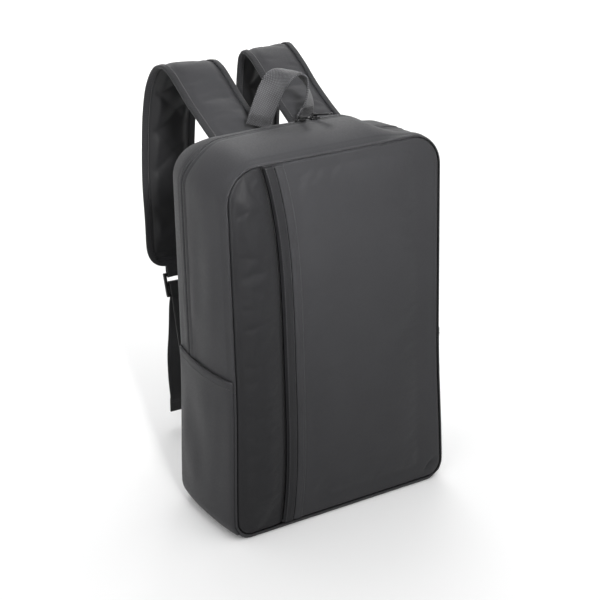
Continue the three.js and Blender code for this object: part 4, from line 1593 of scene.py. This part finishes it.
    def build(self) -> Station:
        """Builds the pad, the binding and the lining.

        Returns:
            The strap's lower end.
        """
        rows = round(self.length / 2.8)
        bm = map_grid(self._pad, 40, rows, self.inside)
        bmesh.ops.remove_doubles(bm, verts=bm.verts[:], dist=1e-6)
        bmesh.ops.holes_fill(bm, edges=[e for e in bm.edges if e.is_boundary], sides=0)
        bmesh.ops.recalc_face_normals(bm, faces=bm.faces[:])
        held = []
        cloth = bm.loops.layers.uv["cloth"]
        long = max(loop[cloth].uv.y for face in bm.faces for loop in face.loops)
        for vert in bm.verts:
            v = round(vert.link_loops[0][cloth].uv.y / long, 4)
            s = self.station(v)
            across = abs((vert.co / MM - s.middle).dot(s.width))
            lined = (vert.co / MM - s.middle).dot(s.out) < 0
            free = smooth(min(s.half - across, v * self.length, (1 - v) * self.length), 8.0, 13.0)
            held.append(1.0 if lined else 1 - free)
        name = "strap_pad_" + self.side
        pad = save_piece(bm, name + "_skin", Finish.POLYESTER, replaces=(name,), slot="polyester")
        Settle(3.0, 0.012, 2.4, 8, 16, 0.3).run(pad, held)
        self._build_binding()
        self._build_lining()
        return self.station(1.0)

    def _build_binding(self) -> None:
        """Builds the folded tape round the edge, with its stitches on both faces."""
        rim = self._edge_line()
        cover = self.rim + FORM.gap + self.tape

        def form(u: float, v: float) -> Vector:
            """Point of the tape's outer face."""
            place = v * (len(rim) - 1)
            k = min(int(place), len(rim) - 2)
            w = place - k
            point, out, up = (rim[k][i].lerp(rim[k + 1][i], w) for i in range(3))
            flat = self.lap - cover
            if u < 0.36 or u > 0.64:
                share = u / 0.36 if u < 0.5 else (1 - u) / 0.36
                inwards = lerp(self.lap, cover, share)
                ease = 0.5 * (1 - smooth(share, 0, 0.2)) - 0.35 * bump(share * flat, 1.9, 0.7)
                lift = (cover - ease + 0.5 * math.sin(math.pi * share)) * (1 if u < 0.5 else -1)
                return point + out * -inwards + up * lift
            a = (u - 0.36) / 0.28 * math.pi
            return point + out * (-cover + cover * math.sin(a)) + up * (cover * math.cos(a))

        name = "strap_binding_" + self.side
        piece = Cloth(
            name, form, 20, round(len(rim) * 0.95), 0.9, Finish.BINDING, "binding", self.inside, held="folded"
        )
        tape = piece.make()
        sewing = Sewing(f"strap_stitches_{self.side}", pitch=3.0, radius=0.36)
        for lift in (1, -1):
            line = [p - out * (self.lap - 1.9) + up * (cover * lift) for p, out, up in rim]
            sewing.line(tape, line)
        sewing.save()

    def _build_lining(self) -> None:
        """Builds the inner cloth, which buckles in diamonds where the strap bends."""
        last = 1 - (self.lap + self.tip + 0.5) / self.length

        def form(u: float, v: float) -> Vector:
            """Point of the lining's face."""
            v *= last
            s = self.station(v)
            across = (2 * u - 1) * (s.half - self.lap + 1.0)
            lift = self._swell(v, across, s.half, self.lower) + FORM.gap + 1
            free = smooth(s.half - abs(across), self.lap, self.lap + 12)
            bent = bump(v, 0.46, 0.13) + 0.45 * bump(v, 0.66, 0.1) + 0.15
            diamonds = abs(math.sin(v * 26 + u * 3.4)) + abs(math.sin(v * 26 - u * 3.4 + 1.1))
            soft = max(ripple(s.point(across, 0), 22, 31.0) + 0.6, 0.0) * 0.7
            return s.point(across, -(lift + free * (3.0 * bent * diamonds + 1.3 * soft)))

        name = "strap_lining_" + self.side
        Cloth(
            name, form, 30, round(self.length / 2.4), 0.9, Finish.LINING, "lining", self.inside, inward=True
        ).make()


@dataclass
class StrapHardware:
    """Ladder lock, its loop, the adjusting webbing and the tab in the bottom seam.

    Attributes:
        side: left or right.
        hand: -1 on the left, 1 on the right.
        end: The strap's lower end.
    """

    side: str
    hand: int
    end: Station
    web_width: float = 25
    web_thickness: float = 1.4
    tail_length: float = 158
    hem_length: float = 18
    anchor_out: float = 108
    anchor_height: float = 20
    anchor_length: float = 24
    anchor_thickness: float = 2.4
    web_sag: float = 4
    lock_width: float = 36
    lock_length: float = 30
    lock_thickness: float = 3.5
    lock_rail: float = 4
    lock_bar: float = 3.6
    tab_reach: float = 7
    tip: float = 2

    @property
    def centre(self) -> float:
        """Middle of the lock below the strap's end."""
        return self.tip + FORM.gap + self.tab_reach + self.lock_length / 2

    @property
    def lift(self) -> float:
        """Middle of the webbing above the lock's middle."""
        return self.lock_thickness / 2 + FORM.gap + self.web_thickness / 2

    def at(self, along: float, lift: float) -> Vector:
        """Point below the strap's end."""
        return self.end.middle + self.end.along * along + self.end.out * lift

    def _ribbon(self, name: str, points: Sequence[Vector], widths: Sequence[Vector], rows: int) -> bpy.types.Object:
        """Builds a run of webbing.

        Args:
            name: The CAD node that it stands for.
            points: Its middle line in millimetres.
            widths: Its width direction at each point.
            rows: Faces along.

        Returns:
            The piece.
        """
        curve = curve_through(points)

        @lru_cache(maxsize=None)
        def place(v: float) -> tuple[Vector, Vector, Vector]:
            """Middle, width and outward direction at a share."""
            along = (curve(v + 0.004) - curve(v - 0.004)).normalized()
            k = min(int(v * (len(widths) - 1)), len(widths) - 2)
            width = widths[k].lerp(widths[k + 1], v * (len(widths) - 1) - k)
            width = (width - along * width.dot(along)).normalized()
            return curve(v), width, width.cross(along)

        def form(u: float, v: float) -> Vector:
            """Point of the webbing's middle layer."""
            middle, width, out = place(v)
            across = (2 * u - 1) * self.web_width / 2
            return middle + width * across + out * (0.35 * (2 * u - 1) ** 2)

        # The runs below the straps take the near-black webbing, painted shade for webbing that hangs in shadow.
        return Cloth(
            name, form, 12, rows, self.web_thickness, Finish.PAINTED_SHADE_WEBBING, "webbing", Vector((0, 900, 200)), held="",
            wall=0,
        ).make()

    def build(self) -> None:
        """Builds the hardware and the webbing."""
        self._build_lock()
        centre, lift, half = self.centre, self.lift, self.lock_length / 2
        nose = self.tip + FORM.gap
        bar = centre - half
        past = bar + self.lock_bar + 2 * FORM.gap + self.web_thickness / 2
        loop = [
            (nose - 6, 0.8), (nose, lift / 2), (bar - 2, lift), (past - 1, lift), (past, lift * 0.6),
            (past, -lift * 0.6), (past - 1, -lift), (bar - 2, -lift), (nose, -lift / 2), (nose - 6, -0.8),
        ]
        points = [self.at(a, b) for a, b in loop]
        self._ribbon("strap_tab_" + self.side, points, [self.end.width] * len(points), 60)

        turn = self.lock_bar / 2 + 2 * FORM.gap + self.web_thickness / 2
        entry, leaving = self.at(centre + half + 3, -lift), self.at(centre + half + 1, lift)
        near, far = self._build_anchor(entry)
        climb = [far.lerp(entry, s / 5) + Vector((0, 0, -self.web_sag * 4 * s / 5 * (1 - s / 5))) for s in range(6)]
        bar = self.lock_bar
        fold = [
            self.at(centre + half - bar, -lift), self.at(centre - bar / 2, -lift), self.at(centre - turn, -lift * 0.75),
            self.at(centre - turn, lift * 0.75), self.at(centre - bar / 2, lift), self.at(centre + half - bar, lift),
        ]

        def plumb(share: float, sway: float, aside: float) -> Vector:
            """Point of the free end below the lock."""
            return leaving + Vector((self.hand * aside, sway, -100 * share)) * (self.tail_length / 100)

        tail = [
            plumb(*row)
            for row in (
                (0.06, -1, 1.5), (0.2, -4, 4), (0.32, -3, 4.4), (0.5, 0, 4.4), (0.7, 0.4, 4.2), (0.87, -1, 3.8),
            )
        ]
        hem = 1 - self.hem_length / self.tail_length
        end = [plumb(0.985, -0.5, 3.6), plumb(0.999, -0.3, 3.6), plumb(0.999, 0.55, 3.6), plumb(0.985, 0.55, 3.6)]
        back = [plumb(hem + 0.02, 0.4, 3.6), plumb(hem, 0.35, 3.6)]
        points = [near, *climb, *fold, leaving, *tail, *end, *back]
        level = Vector((1, 0, 0))
        widths = [level.lerp(self.end.width, min(1, i / len(climb))).normalized() for i in range(len(points))]
        web = self._ribbon("strap_webbing_" + self.side, points, widths, 330)
        sewing = Sewing("webbing_stitches_" + self.side, pitch=2.4, radius=0.4)
        for share in (hem + 0.012, hem + 0.03):
            middle = plumb(share, -1.2, 3.6)
            sewing.line(web, [middle + self.end.width * x for x in range(-11, 12)])
        sewing.save()

    def _build_lock(self) -> None:
        """Builds the moulded ladder lock with its thumb lip."""
        bm = bmesh.new()
        bmesh.ops.create_grid(bm, x_segments=3, y_segments=5, size=0.5)
        slot = (self.lock_length - 3 * self.lock_bar) / 2
        xs = [-self.lock_width / 2, self.lock_rail - self.lock_width / 2]
        xs += [-x for x in reversed(xs)]
        ys = [0.0]
        for size in (self.lock_bar, slot, self.lock_bar, slot, self.lock_bar):
            ys.append(ys[-1] + size)
        for vert in bm.verts:
            i, j = round((vert.co.x + 0.5) * 3), round((vert.co.y + 0.5) * 5)
            vert.co = Vector((xs[i], ys[j] - self.lock_length / 2, 0))
        holes = [f for f in bm.faces if abs(f.calc_center_median().x) < 1 and 2 < abs(f.calc_center_median().y) < 12]
        bmesh.ops.delete(bm, geom=holes, context="FACES")
        bmesh.ops.solidify(bm, geom=bm.faces[:], thickness=self.lock_thickness)
        middle = sum(v.co.z for v in bm.verts) / len(bm.verts)
        bmesh.ops.translate(bm, verts=bm.verts[:], vec=(0, 0, -middle))
        sharp = [e for e in bm.edges if e.calc_face_angle(0) > 0.6]
        bmesh.ops.bevel(
            bm, geom=sharp, offset=0.9, offset_type="OFFSET", segments=3, profile=0.5, affect="EDGES", material=-1,
            clamp_overlap=True,
        )
        for vert in bm.verts:
            past = -vert.co.y - self.lock_length / 2 + self.lock_bar
            if past > 0:
                vert.co.z += 1.6 * (past / self.lock_bar) ** 2
        down = self.end.along * -1
        up = self.end.width.cross(down)
        turn = Matrix((self.end.width, down, up)).transposed().to_4x4()
        place = Matrix.Diagonal((MM, MM, MM, 1)) @ Matrix.Translation(self.at(self.centre, 0)) @ turn
        bmesh.ops.transform(bm, matrix=place, verts=bm.verts[:])
        bmesh.ops.recalc_face_normals(bm, faces=bm.faces[:])
        name = "strap_lock_" + self.side
        save_piece(bm, name + "_moulding", Finish.NYLON, replaces=(name,), slot="nylon")

    def _build_anchor(self, target: Vector) -> tuple[Vector, Vector]:
        """Builds the folded tab in the bottom seam, with its box of stitches.

        Args:
            target: Where the webbing goes.

        Returns:
            The two places between which the webbing is sewn to it.
        """
        z = self.anchor_height
        foot = Vector((self.hand * self.anchor_out, FORM.back_y(z) + FORM.gap, z))
        run = (target - foot).normalized()
        out = Vector((0, run.z, -run.y)).normalized()
        half = self.anchor_thickness / 2

        def place(distance: float, lift: float) -> Vector:
            """Point along the tab."""
            return foot + run * distance + out * lift

        def form(u: float, v: float) -> Vector:
            """Point of the tab's middle layer."""
            wide = lerp(self.web_width * 0.95, self.web_width * 0.56, v)
            slack = 0.3 * ripple(Vector((u * 40, 0, v * 30)), 12, 6.0)
            return place(v * self.anchor_length, slack) + Vector(((2 * u - 1) * wide, 0, 0))

        name = "strap_anchor_" + self.side
        tab = Cloth(
            name, form, 24, 14, self.anchor_thickness, Finish.POLYESTER, "polyester", Vector((0, 900, 20)),
            held="folded", wall=0,
        ).make()
        sewing = Sewing("anchor_stitches_" + self.side, pitch=2.4, radius=0.38)
        lift = half + FORM.gap + self.web_thickness
        corners = [(-9, 0.55), (9, 0.55), (9, 0.95), (-9, 0.95)]
        box = [place(v * self.anchor_length, lift) + Vector((x, 0, 0)) for x, v in corners]
        for a, b in ((0, 1), (1, 2), (2, 3), (3, 0), (0, 2), (1, 3)):
            for middle, along in spaced([box[a], box[b]], 2.4):
                sewing.bead(middle + out * 0.1, along, out, Vector((0.85, 0.38, 0.38)))
        sewing.save()
        lift = half + FORM.gap + self.web_thickness / 2
        LOG.info("%s sewn", tab.name)
        return place(self.anchor_length * 0.4, lift), place(self.anchor_length * 1.1, lift)


@dataclass
class ZipSlider:
    """A slider of the main zip and its pull.

    Attributes:
        side: left or right.
        across: Place along the zip.
        turn: How far the pull points aside, in degrees.
    """

    side: str
    across: float
    turn: float
    length: float = 10
    width: float = 8
    thickness: float = 2.4
    pivot: float = 5.2
    bar: float = 0.7
    pull_length: float = 26
    pull_width: float = 7
    pull_thickness: float = 1.8
    knuckle: float = 1.9
    post_span: float = 8

    def _block(self, bm: bmesh.types.BMesh, size: Vector, middle: Vector, round_by: float, turn: float = 0.0) -> None:
        """Adds a rounded block.

        Args:
            bm: Shape in millimetres.
            size: Its size.
            middle: Its middle.
            round_by: Width of its rounded edges.
            turn: Turn about the upright axis, in degrees.
        """
        place = Matrix.Rotation(math.radians(turn), 4, "Z") @ Matrix.Translation(middle)
        made = bmesh.ops.create_cube(bm, size=1.0, matrix=place @ Matrix.Diagonal((*size, 1.0)))
        edges = list({e for v in made["verts"] for e in v.link_edges})
        bmesh.ops.bevel(
            bm, geom=edges, offset=round_by, offset_type="OFFSET", segments=3, profile=0.5, affect="EDGES",
            material=-1, clamp_overlap=True,
        )

    def build(self, joint: dict[str, Any], node: bpy.types.Object) -> None:
        """Builds the slider and its pull.

        Args:
            joint: The record's joint of the pull.
            node: The CAD node of the pull, whose middle gives its direction.
        """
        spot = Spot(self.across, FORM.front_top, 0, 1)
        t = FORM.zip_share(spot)
        slope = FORM.place(spot, t + 0.01) - FORM.place(spot, t - 0.01)
        tilt = Matrix.Rotation(math.atan2(slope.z, slope.y), 4, "X")
        seat = Matrix.Diagonal((MM, MM, MM, 1)) @ Matrix.Translation(FORM.place(spot, t)) @ tilt
        bm = bmesh.new()
        top = FORM.gap + self.thickness
        plate = Vector((self.length, self.width, self.thickness))
        self._block(bm, plate, Vector((0, 0, top - self.thickness / 2)), 0.9)
        self._block(bm, Vector((self.length * 0.6, 1.0, 3.0)), Vector((0, 0, top - 1.6)), 0.2)
        height = self.pivot + self.bar - top + 0.4
        for end in (-1, 1):
            middle = Vector((end * (self.post_span - 1.2) / 2, 0, top - 0.4 + height / 2))
            self._block(bm, Vector((1.2, 2.4, height)), middle, 0.4, self.turn)
        axle = Matrix.Rotation(math.radians(self.turn), 4, "Z") @ Matrix.Translation((0, 0, self.pivot))
        bmesh.ops.create_cone(
            bm, cap_ends=True, segments=16, radius1=self.bar, radius2=self.bar, depth=self.post_span - 1.2,
            matrix=axle @ Matrix.Rotation(math.pi / 2, 4, "Y"),
        )
        bmesh.ops.transform(bm, matrix=seat, verts=bm.verts[:])
        name = "zip_slider_" + self.side
        save_piece(bm, name + "_casting", Finish.ENAMEL, replaces=(name,), slot="black_metal")
        self._build_pull(joint, node)

    def _build_pull(self, joint: dict[str, Any], node: bpy.types.Object) -> None:
        """Builds the pull: a long tab with a rim, hung on a knuckle."""
        pivot = Vector(joint["pos_m"])
        x_axis = -Vector(joint["axis"]).normalized()
        corners = [v.co for v in node.data.vertices]
        reach = sum(corners, Vector()) / len(corners) - pivot
        y_axis = -(reach - x_axis * reach.dot(x_axis)).normalized()
        turn = Matrix((x_axis, y_axis, x_axis.cross(y_axis))).transposed().to_4x4()
        place = Matrix.Translation(pivot) @ turn @ Matrix.Diagonal((MM, MM, MM, 1))
        bm = bmesh.new()
        half = self.pull_width / 2
        made = bmesh.ops.create_circle(bm, cap_ends=True, segments=28, radius=half)
        for vert in made["verts"]:
            if vert.co.y > 0:
                vert.co.y = vert.co.y * 0.6 + self.pull_length - 2 * half - 2.6
                vert.co.x *= 0.72
            vert.co.y -= self.pull_length - half
        face = bm.faces[:][0]
        top = bmesh.ops.extrude_face_region(bm, geom=[face])
        raised = [v for v in top["geom"] if isinstance(v, bmesh.types.BMVert)]
        bmesh.ops.translate(bm, verts=raised, vec=(0, 0, self.pull_thickness))
        bmesh.ops.translate(bm, verts=bm.verts[:], vec=(0, 0, -self.pull_thickness / 2))
        bmesh.ops.recalc_face_normals(bm, faces=bm.faces[:])
        lids = [f for f in bm.faces if abs(f.normal.z) > 0.9]
        rims = list({e for f in lids for e in f.edges})
        bmesh.ops.bevel(
            bm, geom=rims, offset=0.4, offset_type="OFFSET", segments=2, profile=0.5, affect="EDGES", material=-1,
            clamp_overlap=True,
        )
        bm.faces.ensure_lookup_table()
        lids = sorted((f for f in bm.faces if abs(f.normal.z) > 0.99), key=lambda f: -f.calc_area())[:2]
        bmesh.ops.inset_individual(bm, faces=lids, thickness=1.0, depth=0.0, use_even_offset=True)
        bmesh.ops.inset_individual(bm, faces=lids, thickness=0.25, depth=-0.3, use_even_offset=True)
        ring = self.knuckle - 0.15
        inner, wide = self.bar + 0.4, self.post_span / 2 - 1.65
        section = [bm.verts.new((x, 0, r)) for x, r in ((-wide, inner), (wide, inner), (wide, ring), (-wide, ring))]
        loop = [bm.edges.new((section[i - 1], section[i])) for i in range(4)]
        bmesh.ops.spin(
            bm, geom=[*section, *loop], cent=(0, 0, 0), axis=(1, 0, 0), angle=2 * math.pi, steps=20, use_merge=True,
            use_duplicate=False,
        )
        self._block(bm, Vector((2 * wide, 4.2, self.pull_thickness)), Vector((0, -self.knuckle - 1.9, 0)), 0.35)
        bmesh.ops.transform(bm, matrix=place, verts=bm.verts[:])
        bmesh.ops.recalc_face_normals(bm, faces=bm.faces[:])
        name = "zip_pull_" + self.side
        save_piece(bm, name + "_casting", Finish.ENAMEL, "pull_" + self.side, (name,), "black_metal")


# Stage


@dataclass(frozen=True)
class Lamp:
    """A soft square lamp: place and aim in metres, size, power in watts and the spread of its beam in degrees."""

    name: str
    place: tuple[float, float, float]
    aim: tuple[float, float, float]
    size: float
    power: float
    spread: float = 180

    def hang(self) -> None:
        """Adds the lamp to the scene."""
        data = bpy.data.lights.new(self.name, "AREA")
        data.size, data.energy, data.spread = self.size, self.power, math.radians(self.spread)
        lamp = bpy.data.objects.new(self.name, data)
        lamp.location = self.place
        lamp.rotation_euler = (Vector(self.aim) - Vector(self.place)).to_track_quat("-Z", "Y").to_euler()
        bpy.context.scene.collection.objects.link(lamp)


@dataclass
class Stage:
    """Pale floor, soft studio light and the camera at the photo's angle."""

    eye: tuple[float, float, float] = (-0.8143, -1.2992, 0.9165)
    target: tuple[float, float, float] = (-0.0212, 0.0, 0.2455)
    lens: float = 89.37
    sky: float = 0.82
    floor_size: float = 4.0
    lamps: tuple[Lamp, ...] = (
        Lamp("soft box above the front", (0.2, -1.5, 2.2), (0.2, -1.49, 0), 1.8, 14),
        Lamp("snooted front light", (-0.35, -1.25, 1.25), (-0.05, 0, 0.47), 0.3, 1.25, 25),
        Lamp("left front", (-1.9, -1.4, 0.7), (0, 0, 0.1), 1.2, 10),
        Lamp("background", (1.6, 3.0, 2.4), (1.6, 3.01, 0), 2.4, 70),
    )

    def build(self) -> None:
        """Builds the stage."""
        scene = bpy.context.scene
        scene.view_settings.view_transform = "Standard"
        world = bpy.data.worlds.new("studio white")
        world.use_nodes = True
        background = world.node_tree.nodes["Background"]
        background.inputs["Color"].default_value = (1, 1, 1, 1)
        background.inputs["Strength"].default_value = self.sky
        scene.world = world
        for lamp in self.lamps:
            lamp.hang()
        bm = bmesh.new()
        bmesh.ops.create_grid(bm, x_segments=8, y_segments=8, size=self.floor_size)
        mesh = bpy.data.meshes.new("studio_floor")
        bm.to_mesh(mesh)
        bm.free()
        floor = bpy.data.objects.new("studio_floor", mesh)
        paper = bpy.data.materials.new("matt white paper")
        paper.use_nodes = True
        shader = paper.node_tree.nodes["Principled BSDF"]
        shader.inputs["Base Color"].default_value = (0.97, 0.97, 0.97, 1)
        shader.inputs["Roughness"].default_value = 0.95
        shader.inputs["Specular IOR Level"].default_value = 0.1
        mesh.materials.append(paper)
        scene.collection.objects.link(floor)
        data = bpy.data.cameras.new("photo camera")
        data.lens, data.sensor_width = self.lens, 36.0
        camera = bpy.data.objects.new("photo camera", data)
        camera.location = self.eye
        camera.rotation_euler = (Vector(self.target) - Vector(self.eye)).to_track_quat("-Z", "Y").to_euler()
        scene.collection.objects.link(camera)
        scene.camera = camera


def main() -> None:
    """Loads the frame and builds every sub-assembly."""
    logging.basicConfig(level=logging.INFO, format="%(message)s")
    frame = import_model()
    Stage().build()
    FrontPanel().build()
    Gussets().build()
    MainZip().build()
    SidePockets().build()
    BackPanel().build()
    Handle().build()
    for side, table in (("left", LEFT_ROUTE), ("right", RIGHT_ROUTE)):
        end = ShoulderStrap(side, table).build()
        StrapHardware(side, table.hand, end).build()
    joints = {joint["name"]: joint for joint in frame["joints"]}
    for slider in (ZipSlider("left", 1, -6), ZipSlider("right", 19, 17)):
        slider.build(joints[slider.side + "_pull_hinge"], frame["nodes"]["zip_pull_" + slider.side])


if __name__ == "__main__":
    main()
